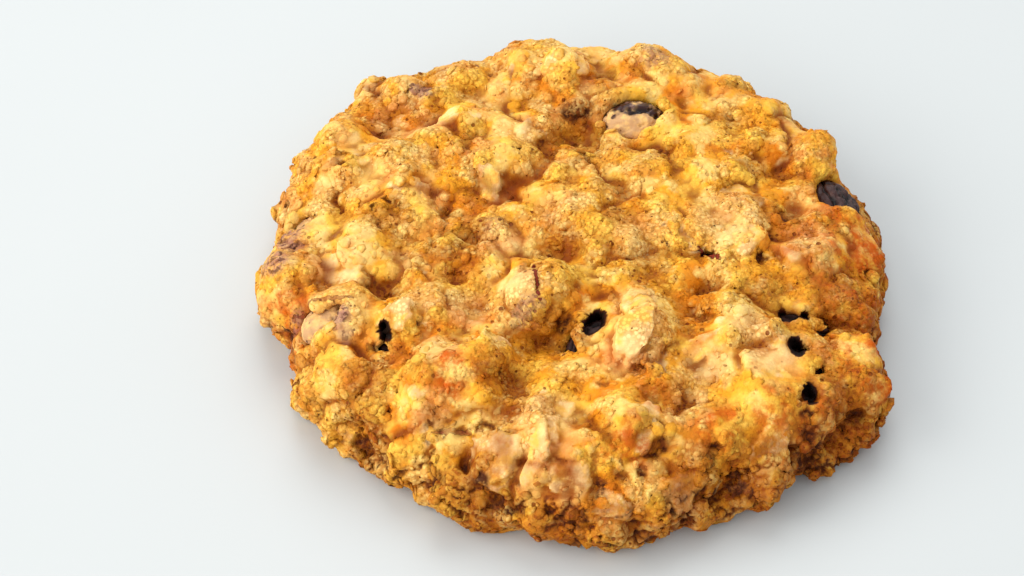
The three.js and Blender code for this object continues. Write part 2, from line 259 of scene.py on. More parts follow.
def dropped(tree, random, from_side):
    """A random place on the outside of the dough and the way out of it, or None."""
    turn = random.uniform(0, 2 * pi)
    if from_side:
        height = random.uniform(*SIDE_HEIGHTS)
        start = Vector((DROP_FROM * cos(turn), DROP_FROM * sin(turn), height))
        aim = Vector((-cos(turn), -sin(turn), 0))
    else:
        away = REACH * np.sqrt(random.random())
        start = Vector((away * cos(turn), away * sin(turn), DROP_FROM))
        aim = Vector((0, 0, -1))
    place, normal, _, distance = tree.ray_cast(start * MM, aim)
    if place is None:
        return None
    covered = raisin_tree.ray_cast(start * MM, aim)[3]
    if covered is not None and covered < distance:
        return None
    return place / MM, normal


def far_from_raisins(place, gap):
    return raisin_tree.find_nearest(place * MM)[3] > gap * MM


print("bare dough", len(dough_shape.faces), "faces")

# %% [markdown]
# ## Where raisins show
# A raisin shows where the dough over it is open. Those mouths are found by looking at the bare
# solids from above and from the front: a ray that meets a raisin before any dough marks a mouth.
# Whatever is added to the dough later stays clear of these marks.

# %% Mouths
MOUTH_STEP = 0.5
MIDDLE_HEIGHT = 8
LOOKS = [Vector((0, 0, -1)), Vector((0, 0.73, -0.68))]


def tree_of(places):
    tree = KDTree(len(places))
    for index, place in enumerate(places):
        tree.insert(place, index)
    tree.balance()
    return tree


mouths = []
for look in LOOKS:
    for x in np.arange(-REACH, REACH, MOUTH_STEP):
        for y in np.arange(-REACH, REACH, MOUTH_STEP):
            start = (Vector((x, y, MIDDLE_HEIGHT)) - look * DROP_FROM) * MM
            seen, _, _, distance = raisin_tree.ray_cast(start, look)
            if seen is None:
                continue
            covered = bare_dough.ray_cast(start, look)[3]
            if covered is None or covered > distance:
                mouths.append(seen / MM)
mouth_tree = tree_of(mouths)
print("mouth marks", len(mouths))

# %% [markdown]
# ## The dough: lumps
# Cookie dough is scooped, not moulded, so its skin is a pile of small lumps, some of which hang
# over the ones below. Displacement alone can't make an overhang. So balls of dough are sunk into a
# copy of the CAD solid, more of them round the side than on top, and a voxel remesh melts them all
# into one closed skin.

# %% Lumps on the solid
LUMPS = 460
LUMP_SIZE = (1.1, 2.6)
LUMP_SUNK = (0.65, 0.96)
LUMP_STRETCH = (0.7, 1.3)
LUMPS_ON_SIDE = 0.62
# The middle raisin's slit is too thin for the skin; it is filled here and drawn in the finish.
SLIT_FILL = {"place": (-4.9, -9.2, 13.2), "half_sizes": (1.6, 4.2, 0.7)}
# Little lumps that break the rims round two raisins: place and size.
RIM_LUMPS = [
    (5.0, 19.6, 10.5, 1.0), (9.6, 19.3, 10.9, 1.1), (11.3, 21.0, 11.4, 0.9), (3.6, 21.8, 10.2, 0.8),
    (4.3, 25.0, 11.2, 0.8), (11.6, 24.4, 11.7, 0.7), (28.6, -12.2, 9.9, 0.9),
]

random = np.random.default_rng(11)
made = 0
while made < LUMPS:
    found = dropped(bare_dough, random, from_side=random.random() < LUMPS_ON_SIDE)
    size = random.uniform(*LUMP_SIZE)
    sunk = random.uniform(*LUMP_SUNK)
    turn = random.uniform(0, 2 * pi)
    stretch_by = random.uniform(*LUMP_STRETCH, 3)
    if found is None or not far_from_raisins(found[0], 0.3 * size + 0.5):
        continue
    if mouth_tree.find(found[0])[2] < size + 0.3:
        continue
    place, normal = found
    upright = normal.to_track_quat("Z", "Y").to_matrix().to_4x4()
    middle = Matrix.Translation((place - normal * size * sunk) * MM)
    bmesh.ops.create_icosphere(
        dough_shape,
        subdivisions=2,
        radius=size * MM,
        matrix=middle @ upright @ Matrix.Rotation(turn, 4, "Z") @ Matrix.Diagonal((*stretch_by, 1)),
    )
    made += 1
bmesh.ops.create_icosphere(
    dough_shape,
    subdivisions=3,
    radius=MM,
    matrix=Matrix.Translation(Vector(SLIT_FILL["place"]) * MM)
    @ Matrix.Diagonal((*SLIT_FILL["half_sizes"], 1)),
)
for x, y, z, size in RIM_LUMPS:
    bmesh.ops.create_icosphere(
        dough_shape,
        subdivisions=2,
        radius=size * MM,
        matrix=Matrix.Translation(Vector((x, y, z)) * MM),
    )
print("lumps", made + len(RIM_LUMPS))

# %% [markdown]
# ## The dough: holes over raisins
# Over four raisins the dough has burst and shows six small holes, whose dough the finish paints dark as
# painted shade. A hole is cut along the way that it looks, with an oval cutter, so that its rim stays
# irregular. Marks on the raisin below keep later crumbs away from it.

# %% Holes
# Each hole: its place, half its width, half its height, its depth, and how it is turned.
HOLES = [
    (1.8, -13.6, 11.2, 1.1, 2.0, 3.2, -35),
    (-23.0, -14.1, 10.8, 0.9, 1.4, 2.8, 10),
    (25.8, -17.7, 12.0, 0.9, 1.3, 2.8, 20),
    (26.9, -24.9, 11.8, 0.9, 1.3, 2.8, 10),
    (24.7, -10.8, 10.2, 0.5, 0.4, 2.4, 0),
    (27.3, -11.6, 10.7, 0.5, 0.6, 2.4, 0),
]
HOLE_LOOK = Vector((0, -0.68, 0.73))
hole_frame = HOLE_LOOK.to_track_quat("Z", "Y").to_matrix().to_4x4()
# Spots of a hole, in shares of its half width and half height, under which the raisin is marked.
MARKED_SPOTS = ((0, 0), (0.7, 0), (-0.7, 0), (0, 0.7), (0, -0.7))
CLOSE_BELOW = 4

hole_shape = bmesh.new()
hole_matrices = []
for x, y, z, half_width, half_height, depth, turn in HOLES:
    oval = Matrix.Rotation(radians(turn), 4, "Z") @ Matrix.Diagonal(
        (half_width, half_height, depth, 1)
    )
    hole_matrices.append(Matrix.Translation((x, y, z)) @ hole_frame @ oval)
    bmesh.ops.create_icosphere(
        hole_shape, subdivisions=3, radius=1, matrix=Matrix.Scale(MM, 4) @ hole_matrices[-1]
    )
    for along, across in MARKED_SPOTS:
        spot = hole_matrices[-1] @ Vector((along, across, 0))
        seen = raisin_tree.ray_cast((spot + HOLE_LOOK * 5) * MM, -HOLE_LOOK)[0]
        if seen is not None and (seen / MM - spot).length < CLOSE_BELOW:
            mouths.append(seen / MM)
mouth_tree = tree_of(mouths)
print("holes", len(HOLES), "mouth marks", len(mouths))

# %% [markdown]
# ## Helpers for meshes
# The dough has tens of thousands of points, so they are moved as numpy arrays. `relax` pulls every
# point towards its neighbours: a few rounds take the facets off, and many rounds give the broad
# form without its crumbs, which later tells bumps from hollows.

# %% Mesh helpers
def places_of(mesh):
    """The points of a mesh in mm."""
    flat = np.empty(len(mesh.vertices) * 3)
    mesh.vertices.foreach_get("co", flat)
    return flat.reshape(-1, 3) / MM


def put_places(mesh, places):
    mesh.vertices.foreach_set("co", (places * MM).ravel())
    mesh.update()


def edges_of(mesh):
    flat = np.empty(len(mesh.edges) * 2, dtype=int)
    mesh.edges.foreach_get("vertices", flat)
    return flat.reshape(-1, 2)


def normals_of(mesh):
    flat = np.empty(len(mesh.vertices) * 3)
    mesh.vertex_normals.foreach_get("vector", flat)
    return flat.reshape(-1, 3)


def relax(places, edges, times, share=0.5):
    first, second = edges.T
    size = len(places)
    count = np.bincount(edges.ravel(), minlength=size)
    for _ in range(times):
        middle = [
            np.bincount(first, values[second], size) + np.bincount(second, values[first], size)
            for values in places.T
        ]
        places = places + share * (np.stack(middle / count, 1) - places)
    return places


def fade(values, low, high):
    """0 up to low, 1 from high on, and a smooth step between."""
    part = np.clip((values - low) / (high - low), 0, 1)
    return part * part * (3 - 2 * part)


# %% [markdown]
# ## The dough: one skin
# The remesh rebuilds everything as even little squares, fine enough to carry crumbs and pores. It
# runs before the holes are cut and again after them, which softens their edges.

# %% Remesh
VOXEL = 0.385


def passing(name, shape):
    """A passing object that holds a bmesh."""
    mesh = bpy.data.meshes.new(name)
    shape.to_mesh(mesh)
    shape.free()
    thing = bpy.data.objects.new(name, mesh)
    scene.collection.objects.link(thing)
    return thing


def add_voxels(thing):
    voxels = thing.modifiers.new("voxels", "REMESH")
    voxels.mode = "VOXEL"
    voxels.voxel_size = VOXEL * MM


source = passing("source", dough_shape)
cutters = passing("cutters", hole_shape)
add_voxels(source)
cut = source.modifiers.new("cut", "BOOLEAN")
cut.operation = "DIFFERENCE"
cut.object = cutters
cut.solver = "EXACT"
add_voxels(source)
ready = source.evaluated_get(bpy.context.evaluated_depsgraph_get())
dough_mesh = bpy.data.meshes.new_from_object(ready)
bpy.data.objects.remove(source)
bpy.data.objects.remove(cutters)
dough_mesh.name = "cookie_dough"
print("dough skin", len(dough_mesh.vertices), "points")

# %% [markdown]
# ## The dough: relaxed
# The voxel stairs and the facets of the solid are relaxed away, but for a few rounds only where the
# dough is a thin film over a raisin, as relaxing wears thin films through. How near a raisin or a
# mouth is to each point is kept for later.

# %% Relax
FACET_ROUNDS = 9
FILM_ROUNDS = 3

dough_edges = edges_of(dough_mesh)
stairs = places_of(dough_mesh)
nearest_raisin = [raisin_tree.find_nearest(Vector(place) * MM) for place in stairs]
raisin_away = np.array([found[3] for found in nearest_raisin]) / MM
by_raisin = 1 - fade(raisin_away, 1.2, 2.6)
by_mouth = 1 - fade(np.array([mouth_tree.find(place)[2] for place in stairs]), 0.5, 1.6)
places = relax(stairs, dough_edges, FILM_ROUNDS)
broad = relax(places, dough_edges, FACET_ROUNDS - FILM_ROUNDS)
places += (1 - by_raisin)[:, None] * (broad - places)
put_places(dough_mesh, places)
outwards = normals_of(dough_mesh)
print("by a raisin", int((by_raisin > 0.5).sum()), "of", len(places), "points")

# %% [markdown]
# ## The dough: crumbs and pores
# As the dough bakes, its skin dries into crumbs, which are low round caps side by side, each with
# its own height, and steam leaves pores between them. Each is a height in mm at every point, to be
# pushed along the way out of the dough. Caps are round in a warped copy of the skin, so on the skin
# itself their outlines are uneven.

# %% Caps of crumbs
BIG_CRUMBS = {"count": 2600, "reach": (1.1, 2.5), "height": (0.12, 0.55)}
SMALL_CRUMBS = {"count": 7000, "reach": (0.6, 1.1), "height": (0.06, 0.24)}
PORES = {"count": 90, "reach": (0.35, 0.65), "height": (0.3, 0.8)}
CAP_FULLNESS = 0.8
WARP = 0.7
WARP_SIZE = 1.8


def noise_at(places, size, octaves=1, shift=0.0):
    """Smooth noise of about -1 to 1 at every point, with blobs of size mm."""
    scaled = places / size + shift
    return np.array([noise.fractal(Vector(place), 1.0, 2.0, octaves) for place in scaled])


def near_to(tree, place, reach):
    """The numbers of the points within reach of a place, and how far away they are."""
    found = tree.find_range(place, reach)
    numbers = np.array([index for _, index, _ in found], dtype=int)
    return numbers, np.array([away for _, _, away in found])


def raise_caps(places, tree, random, count, reach, height, chances=None):
    """Caps side by side over a skin: how high each point is on the highest cap over it."""
    rise = np.zeros(len(places))
    for seed in random.choice(len(places), count, p=chances):
        size = random.uniform(*reach)
        near, away = near_to(tree, places[seed], size)
        top = random.uniform(*height) * (1 - (away / size) ** 2) ** CAP_FULLNESS
        rise[near] = np.maximum(rise[near], top)
    return rise


warp = np.stack([noise_at(places, WARP_SIZE, octaves=2, shift=shift) for shift in (2, 33, 64)], 1)
warped = places + WARP * warp
warped_tree = tree_of(warped)
skin_tree = tree_of(places)
random = np.random.default_rng(23)
big_crumbs = raise_caps(warped, warped_tree, random, **BIG_CRUMBS)
small_crumbs = raise_caps(warped, warped_tree, random, **SMALL_CRUMBS)
print("crumbs rise", round(big_crumbs.mean(), 2), round(small_crumbs.mean(), 2), "mm on average")

# %% [markdown]
# ## The dough: crumbly, smooth and shaded sides
# Crumbs and pores come in patches: some of the skin stays smooth with butter. The side wall, which
# slumped and dried most, is crumbs all over. Some numbers at every point tell these places apart:
# 1 in the middle of a patch and 0 outside it.

# %% Patches
# Places that are all crumbs, and places where butter keeps the skin smooth, on the base plane
# with their reach.
CRUMBLY = [
    (7, 0, 9), (-12, 3, 5), (21, -6, 6), (-4, -18, 4), (-25, -23, 5), (33, -10, 5), (-9, -22.5, 5),
    (2, 16, 5), (-14, 14, 5), (12, -24, 4),
]
BUTTERY = [
    (22.8, -20.6, 5.2), (-7.2, -9.2, 3.4), (-30, -10, 3.6), (21.6, -28.4, 3.0), (-2.6, -32.0, 3.6),
]


def strongest(places, rows, whole, end):
    """The strongest of some round places at each point: full to whole times the reach, 0 at end."""
    found = np.zeros(len(places))
    for x, y, reach, strength in rows:
        away = np.linalg.norm(places[:, :2] - (x, y), axis=1)
        found = np.maximum(found, strength * (1 - fade(away, whole * reach, end * reach)))
    return found


coarse = noise_at(places, 6.0, octaves=2, shift=3.0)
crumbly = fade(coarse, -0.3, 0.3) * (0.65 + 0.35 * fade(places[:, 1], -26, -12))
from_axis = np.linalg.norm(places[:, :2], axis=1)
on_wall = (1 - fade(places[:, 2], 5.0, 9.0)) * fade(from_axis, 22, 31)
# The front right of the side, away from the window, which the finish paints darker as painted shade.
shaded_side = fade((places[:, 0] * 0.8 - places[:, 1] * 0.6) / from_axis.clip(1), -0.15, 0.6)
crumbly = np.maximum(crumbly, on_wall)
crumbly = np.maximum(crumbly, strongest(places, [(*row, 1) for row in CRUMBLY], 0.6, 1.0))
smooth = strongest(places, [(*row, 1) for row in BUTTERY], 0.5, 1.0)
print("crumbly", round(float(crumbly.mean()), 2), "buttery", round(float(smooth.mean()), 2))

# %% [markdown]
# ## The dough: the crumbs together
# Pores open where it is crumbly, and fine noise roughens everything. Butter fills the relief in.

# %% Crumbs
chances = crumbly**2 * fade(places[:, 2], 0.5, 3)
pores = raise_caps(warped, warped_tree, random, **PORES, chances=chances / chances.sum())
fine = noise_at(places, 1.0, octaves=3, shift=7.0)
middling = noise_at(places, 3.2, octaves=2, shift=1.0)
crumbs = (
    big_crumbs * (0.6 + 0.4 * crumbly + 0.9 * on_wall)
    + small_crumbs * (0.35 + 0.65 * crumbly + 0.4 * on_wall)
    - 0.25 * on_wall
    + (0.04 + 0.08 * crumbly) * fine
    + 0.2 * middling
    - pores
)
crumbs *= 1 - 0.75 * smooth
print("pores", round(float((pores > 0.1).mean()), 3), "of the skin")

# %% [markdown]
# ## The dough: clumps and the valleys between them
# A scoop of dough is a heap of clumps about 10 mm wide, and while it slumps in the oven it tears
# where two clumps meet. Every point belongs to the clump whose middle is nearest; where the second
# nearest is almost as near, there is a valley. Noise bends the borders and closes some of them.

# %% Clumps
# The clumps that stand out, by their middles on the base plane, and the number of the others.
CLUMP_MIDDLES = [
    (7, 1), (-4.8, -8.6), (22.4, -22.4), (19, -14), (6, -26.5), (-4, -31), (-15.6, -22.5),
    (-19.5, -11), (-29.6, -11.6), (-36, -2), (-29, -20.5), (-26.4, -1), (-24, 12), (-11, 17),
    (-3, 33), (12, 33), (23, 26), (17, 15), (30, 17), (18.8, 2.6), (28.6, -1), (35, -9),
    (31, -22), (7.4, -15.4), (15, -30), (-10, 2),
]
OTHER_CLUMPS = 60
CLUMP_SPACING = 6.5
VALLEY_WIDTH = 1.8
VALLEY_DEPTH = 0.5
CLUMP_DOME = 0.6

bed_tree = BVHTree.FromPolygons(
    [Vector(place) for place in places], [tuple(face.vertices) for face in dough_mesh.polygons]
)


def skin_above(x, y):
    """The place on the skin straight above one on the base plane."""
    return bed_tree.ray_cast(Vector((x, y, DROP_FROM)), Vector((0, 0, -1)))[0]


middles = [skin_above(x, y) for x, y in CLUMP_MIDDLES]
random = np.random.default_rng(31)
tries = 0
while len(middles) < len(CLUMP_MIDDLES) + OTHER_CLUMPS and tries < 4000:
    tries += 1
    found = dropped(bare_dough, random, from_side=random.random() < 0.5)
    if found is None:
        continue
    if all((found[0] - other).length > CLUMP_SPACING for other in middles):
        middles.append(found[0])
middle_tree = tree_of(middles)
bent = places + 1.6 * np.stack(
    [noise_at(places, 4.5, octaves=2, shift=shift) for shift in (11, 44, 77)], 1
)
nearest_two = [[away for _, _, away in middle_tree.find_n(place, 2)] for place in bent]
nearest, second = np.array(nearest_two).T
open_share = fade(noise_at(places, 5.0, shift=9.0), -0.25, 0.3)
valleys = open_share * (1 - fade(second - nearest, 0, VALLEY_WIDTH))
domes = np.clip(1 - (nearest / CLUMP_SPACING) ** 2, 0, 1)
print("clumps", len(middles), "valleys", round(float((valleys > 0.5).mean()), 3), "of the skin")

# %% [markdown]
# ## The dough: gaps and cracks
# In a few places a clump has come away from the next and left a gap of a millimetre or two, which the
# finish paints dark as painted shade. Round the side, where the dough spread while its skin was already
# dry, fine cracks run between the crumbs; they follow the lines on which a noise crosses zero, and are
# deepest on the shaded side; they too are painted dark as painted shade.

# %% Gaps
# Each gap: its place on the base plane and its height, its reach and its depth.
GAPS = [
    (-17.7, -28.5, 10.7, 0.9, 1.4), (-16.1, -29.3, 10.3, 0.9, 1.4), (-13.6, -29.3, 10.1, 0.9, 1.4),
    (-10.9, -28.6, 10.3, 0.9, 1.3),
    (-13.0, -32.0, 7.0, 1.2, 1.6), (-11.8, -34.8, 7.7, 1.2, 1.6), (-9.7, -36.2, 5.4, 1.2, 1.6),
    (-7.2, -37.2, 5.9, 1.3, 1.8), (-2.3, -38.8, 5.3, 1.2, 1.6), (-25.4, -26.5, 3.6, 1.7, 2.2),
    (-24.6, -16.5, 9.9, 1.0, 1.6), (-2.1, -12.9, 10.9, 1.5, 1.6), (-2.0, -16.4, 8.8, 1.2, 1.6),
    (9.1, -30.3, 12.6, 0.8, 1.6), (9.4, -31.5, 11.1, 0.9, 1.6),
    (8.2, -33.1, 10.9, 0.9, 1.6), (7.2, -35.3, 10.1, 0.9, 1.6), (15.7, -32.1, 10.7, 1.0, 1.8),
    (14.8, -32.9, 9.9, 1.0, 1.8), (14.3, -34.3, 8.9, 0.9, 1.4), (1.8, -37.0, 9.0, 1.2, 1.6),
    (4.3, -36.1, 10.2, 0.9, 1.4), (2.5, -23.7, 12.5, 0.7, 1.2),
    (18.1, -33.3, 4.7, 1.2, 1.6), (16.0, -34.4, 4.5, 0.8, 1.2), (26.6, -27.4, 10.8, 1.1, 2.0),
    (26.9, -28.2, 8.6, 1.5, 2.4), (26.9, -28.5, 5.7, 1.6, 2.4), (26.8, -29.3, 3.5, 1.4, 2.0),
    (24.7, -10.6, 10.2, 0.9, 1.6), (-16.8, -33.6, 6.5, 0.9, 1.2), (-7.3, -35.5, 8.5, 0.7, 1.2),
    (-0.3, 23.5, 11.0, 1.5, 1.6), (1.6, 23.5, 11.2, 1.3, 1.6), (0.4, 13.0, 12.1, 0.7, 1.4),
    (10.5, 1.4, 12.8, 0.6, 1.4), (15.1, -2.2, 11.8, 0.8, 1.4), (22.9, -2.7, 11.9, 1.0, 2.0),
    (26.1, 4.5, 10.7, 1.1, 1.6), (19.0, -10.0, 12.9, 0.7, 1.2), (-18.0, -29.9, 8.9, 0.6, 1.4),
    (6.5, -27.6, 13.9, 0.6, 1.2), (32.5, -24.2, 6.5, 1.4, 1.8), (12.1, -37.5, 3.3, 1.2, 1.4),
    (23.5, -33.3, 3.2, 1.4, 1.6), (-0.3, -38.9, 5.7, 1.0, 1.2), (-35.0, -10.6, 5.0, 1.4, 1.6),
]

gaps = np.zeros(len(places))
for x, y, z, reach, depth in GAPS:
    spot = bed_tree.find_nearest((x, y, z))[0]
    near, _ = near_to(skin_tree, spot, 2.5 * reach)
    away = np.linalg.norm(places[near] + 0.8 * warp[near] - spot, axis=1) / reach
    deep = depth * (0.4 + 0.35 * on_wall[near])
    gaps[near] = np.maximum(gaps[near], deep * (1 - fade(away, 0.1, 1.4)))
print("gaps", len(GAPS), "up to", round(float(gaps.max()), 1), "mm deep")

# %% Cracks
CRACK_DEPTH = 1.2
CRACK_SIZE = 3.6

folds = np.abs(noise_at(places + warp, CRACK_SIZE, octaves=2, shift=21.0))
cracks = on_wall * (0.4 + 0.6 * shaded_side) * (1 - fade(folds, 0.02, 0.13)) * (1 - by_raisin)
gaps = np.maximum(gaps, CRACK_DEPTH * cracks)
print("cracks on", round(float((cracks > 0.3).mean()), 3), "of the skin")

# %% [markdown]
# ## Oat flakes: where they lie
# Rolled oats are steamed grains pressed flat: ovals 5 to 10 mm long, with a ragged outline and a crease
# along the middle. Stirred into dough they get coated, so most of them show only as smooth pale plates
# with one edge free, half under crumbs. The ones that make this cookie are listed one by one, the next
# follow the spiral on which the solid's flakes lie, and small ones are dropped.

# %% Flake places
# Listed one by one: place, length, width, the way the length points in degrees, how far the middle stands
# proud, and how much higher its far end is.
FLAKES_BY_HAND = [
    (19.0, 2.4, 10.4, 7.8, 20, 0.6, 0.2),
    (28.4, -0.4, 8.4, 6.2, 80, 0.5, 0.2),
    (6.5, -11.9, 5.0, 3.6, 50, 0.8, 0.2),
    (6.4, -18.0, 7.4, 3.4, 84, 0.9, 0.2),
    (14.6, -17.6, 6.0, 3.6, 60, 0.6, 0.2),
    (14.0, -22.4, 5.6, 3.8, 40, 0.6, 0.2),
    (-5.0, -33.4, 9.0, 2.6, 86, 0.3, 0.0),
    (-1.3, -36.7, 6.0, 4.6, 95, 0.6, 0.2),
    (3.0, -38.4, 5.6, 4.0, 0, 0.6, 0.2),
    (-9.6, -33.2, 6.6, 4.4, 70, 0.65, 0.3),
    (11.4, -36.2, 6.6, 4.4, 10, 0.75, 0.4),
    (22.0, -30.6, 7.0, 4.4, 20, 0.8, 0.4),
    (-29.4, -4.0, 7.6, 5.2, 40, 0.6, 0.2),
    (-22.6, -14.2, 5.0, 3.8, 20, 0.6, 0.2),
    (-19.0, -10.8, 6.4, 4.6, 30, 0.5, 0.2),
    (19.8, -14.6, 6.2, 4.6, 60, 0.5, 0.2),
    (-28.6, 15.0, 7.2, 5.0, 10, 0.5, 0.3),
]
SPIRAL_FLAKES = 34
SPIRAL_REACH = 36
SPIRAL_START = radians(170)
SPIRAL_LENGTH = (5.2, 8.2)
SMALL_FLAKES = 70
SMALL_LENGTH = (2.4, 5.2)


def broad_normal(place, reach):
    """The skin's slope over a few mm, which a flake takes, and not that of one crumb."""
    near, _ = near_to(skin_tree, place, reach)
    return Vector(outwards[near].sum(0)).normalized()


def flake_at(place, length, width, yaw, proud, lean, flatten=0.55):
    """A flake's middle and its three directions, with the numbers of its shape."""
    normal = broad_normal(place, 2.5)
    turned = normal.to_track_quat("Z", "Y").to_matrix() @ Matrix.Rotation(yaw, 3, "Z")
    return {
        "middle": np.array(place),
        "frame": np.array(turned),
        "length": length,
        "width": width,
        "proud": proud,
        "lean": lean,
        "flatten": flatten,
    }


flakes = [
    flake_at(skin_above(x, y), length, width, radians(yaw), proud, lean, flatten=0.8)
    for x, y, length, width, yaw, proud, lean in FLAKES_BY_HAND
]
random = np.random.default_rng(5)
for number in range(SPIRAL_FLAKES):
    away = SPIRAL_REACH * np.sqrt((number + 0.5) / SPIRAL_FLAKES)
    turn = SPIRAL_START + number * pi * (3 - np.sqrt(5))
    place = skin_above(away * cos(turn), away * sin(turn))
    length = random.uniform(*SPIRAL_LENGTH)
    width = length * random.uniform(0.5, 0.75)
    yaw = random.uniform(0, 2 * pi)
    if far_from_raisins(place, 2.0):
        flakes.append(flake_at(place, length, width, yaw, random.uniform(0.05, 0.35), 0.2))
while len(flakes) < len(FLAKES_BY_HAND) + SPIRAL_FLAKES + SMALL_FLAKES:
    found = dropped(bare_dough, random, from_side=random.random() < 0.5)
    length = random.uniform(*SMALL_LENGTH)
    width = length * random.uniform(0.55, 0.85)
    yaw = random.uniform(0, 2 * pi)
    proud = random.uniform(0.05, 0.4)
    if found is not None and far_from_raisins(found[0], 1.0):
        place = skin_tree.find(found[0])[0]
        flakes.append(flake_at(place, length, width, yaw, proud, 0.3))
print("flakes", len(flakes))

# %% [markdown]
# ## Oat flakes: plates in the skin
# Seen from its own middle, a flake is a plate: level along and across, tipped up at one end, curled
# at its long edges and creased along the middle. The skin takes the height of the plate wherever
# that is higher than the crumbs, and drops steeply at its outline.

# %% Flake plates
CURL = 0.35
CREASE = {"depth": 0.16, "width": 0.4}
OUTLINE = {"ragged": (0.12, 0.1, 0.07), "turns": (2, 3, 7)}
EDGE_DROP = 1.0


def plate(flake, number, places, near):
    """How high the flake stands over the skin at the near points, and how far inside they lie."""
    local = (places[near] - flake["middle"]) @ flake["frame"]
    along = 2 * local[:, 0] / flake["length"]
    across = 2 * local[:, 1] / flake["width"]
    turn = np.arctan2(across, along)
    outline = 1 + sum(
        size * np.sin(times * turn + number * 1.7 * times)
        for size, times in zip(OUTLINE["ragged"], OUTLINE["turns"])
    )
    inside = (1 - np.hypot(along, across) / outline) * flake["width"] / 2
    crease = CREASE["depth"] * np.exp(-((local[:, 1] / CREASE["width"]) ** 2))
    top = flake["proud"] + flake["lean"] * along + CURL * across**2 * 0.5 - crease
    top -= flake["flatten"] * np.clip(local[:, 2], -1.5, 1.5)
    return top - EDGE_DROP * (1 - fade(inside, -0.1, 0.35)), inside


skin = crumbs + CLUMP_DOME * domes - VALLEY_DEPTH * valleys - gaps
oat = np.zeros(len(places))
for number, flake in enumerate(flakes):
    reach = 0.62 * flake["length"]
    near, _ = near_to(skin_tree, flake["middle"], reach)
    near = near[(outwards[near] @ flake["frame"][:, 2] > 0.2) & (by_mouth[near] < 0.6)]
    top, inside = plate(flake, number, places, near)
    higher = fade(top - skin[near], -0.05, 0.1) * fade(inside, 0, 0.3)
    skin[near] = np.maximum(skin[near], np.where(inside > -0.3, top, -9))
    oat[near] = np.maximum(oat[near] * (1 - higher), higher)
print("the skin's mean rise", round(float(skin.mean()), 2), "mm")
print("share of the skin that is oat", round(float((oat > 0.5).mean()), 3))

# %% [markdown]
# ## The dough: pushed into shape
# All the heights together push the skin in or out along its own directions. The push is lessened by
# its mean, so that the cookie keeps the solid's size, and it fades out at the foot, whose outline is
# drawn in by as much, or a lip would stick out under the wall. Dough over a raisin isn't pushed: it
# closes up to the raisin, as dough does that bakes round it.

# %% Shape the dough
MEAN_RISE = 0.6
POCKET_GAP = 0.08
THIN_FILM = 4.0

raised = fade(places[:, 2], 0.05, 0.8)
places[:, :2] *= 1 - MEAN_RISE / REACH * (1 - raised)[:, None]
push = (skin - MEAN_RISE * (1 - by_raisin)) * raised
push = np.maximum(push, -THIN_FILM * (1 - by_raisin))
push = np.minimum(push, 2.0 * (1 - by_mouth))
raisin_spots = np.array([found[0] for found in nearest_raisin]) / MM
to_raisin = raisin_spots - places
raisin_away = np.linalg.norm(to_raisin, axis=1)
towards = to_raisin / raisin_away.clip(0.01)[:, None]
facing = fade(np.einsum("ij,ij->i", towards, outwards), 0.1, 0.6) * (1 - fade(raisin_away, 1.2, 2.0))
push *= 1 - facing
close_up = facing * (raisin_away - POCKET_GAP)
shaped = places + push[:, None] * outwards + close_up[:, None] * towards
shaped = relax(shaped, dough_edges, 1, share=0.3)
low, high = (np.array(corner) / MM for corner in (cad_low, cad_high))
shaped = np.clip(shaped, low, high)
put_places(dough_mesh, shaped)
print("pushed from", round(push.min(), 2), "to", round(push.max(), 2), "mm")

# %% [markdown]
# ## The dough: painted places
# Colour in baked dough follows form, but not only: some clumps stand nearer to the heat and some raisins
# show through. Those places are given on the base plane, each with its reach and its strength.

# %% Painted places
# Toasted: the clumps that stand proud, and the right, where the toast is partly painted shade.
TOASTED = [
    (-15.2, -23.1, 4.6, 1.0), (16.1, -29.9, 5.0, 0.9), (8.8, -25.7, 4.0, 0.8), (5.0, -33.4, 4.6, 0.9),
    (-35.1, -9.9, 5.5, 0.9), (31.5, -4.2, 5.5, 0.8), (29.8, -28.4, 7.0, 0.9), (22.4, -27.6, 4.0, 0.9),
    (-27, 24, 8.0, 0.5), (34, -16, 6.0, 0.6), (-36, 12, 6.0, 0.5), (28.5, 13.3, 5.0, 0.7),
]
# Brown places, where the crumbs have a dark ground, partly as painted shade of hollows.
BROWNED_AND_SHADED = [
    (-12.5, 2.1, 2.6, 0.8), (-14.8, -3.5, 4.2, 0.9), (-25.2, -22.7, 4.2, 0.8), (-18.0, -2.9, 3.4, 0.6),
    (-23.3, 1.3, 1.4, 0.7), (-7.4, 10.4, 2.6, 0.7), (-13.2, 17.7, 2.0, 0.6), (-15.9, 20.1, 1.6, 0.8),
    (5.1, 3.3, 3.0, 0.6), (8.7, -6.0, 3.4, 0.7), (27.4, -5.2, 3.4, 0.5), (23.0, -8.7, 3.4, 0.7),
    (31.0, -7.3, 4.6, 0.7), (-2.0, -0.7, 3.6, 0.9), (-2.4, -14.6, 3.4, 0.6), (-9, -22.4, 3.4, 0.9),
    (-8.6, -26.8, 2.6, 0.8), (-2.4, -37.5, 4.0, 0.9), (20.8, -33.1, 4.6, 0.8), (12.6, -34.3, 4.0, 0.8),
    (32.0, -23.3, 5.0, 0.9), (35.7, -10.5, 5.0, 0.7), (27, -28.4, 4.0, 1.0), (-12.5, -34.5, 5.0, 0.9),
    (3.0, 27.2, 3.4, 0.6), (-22.5, 4.8, 2.6, 0.5), (25, -11, 2.6, 0.8), (26.1, 4.5, 2.6, 0.7),
    (-25.4, -27.0, 3.0, 1.0), (0.6, 23.5, 2.8, 0.9), (6.7, -31.2, 3.0, 0.5),
]
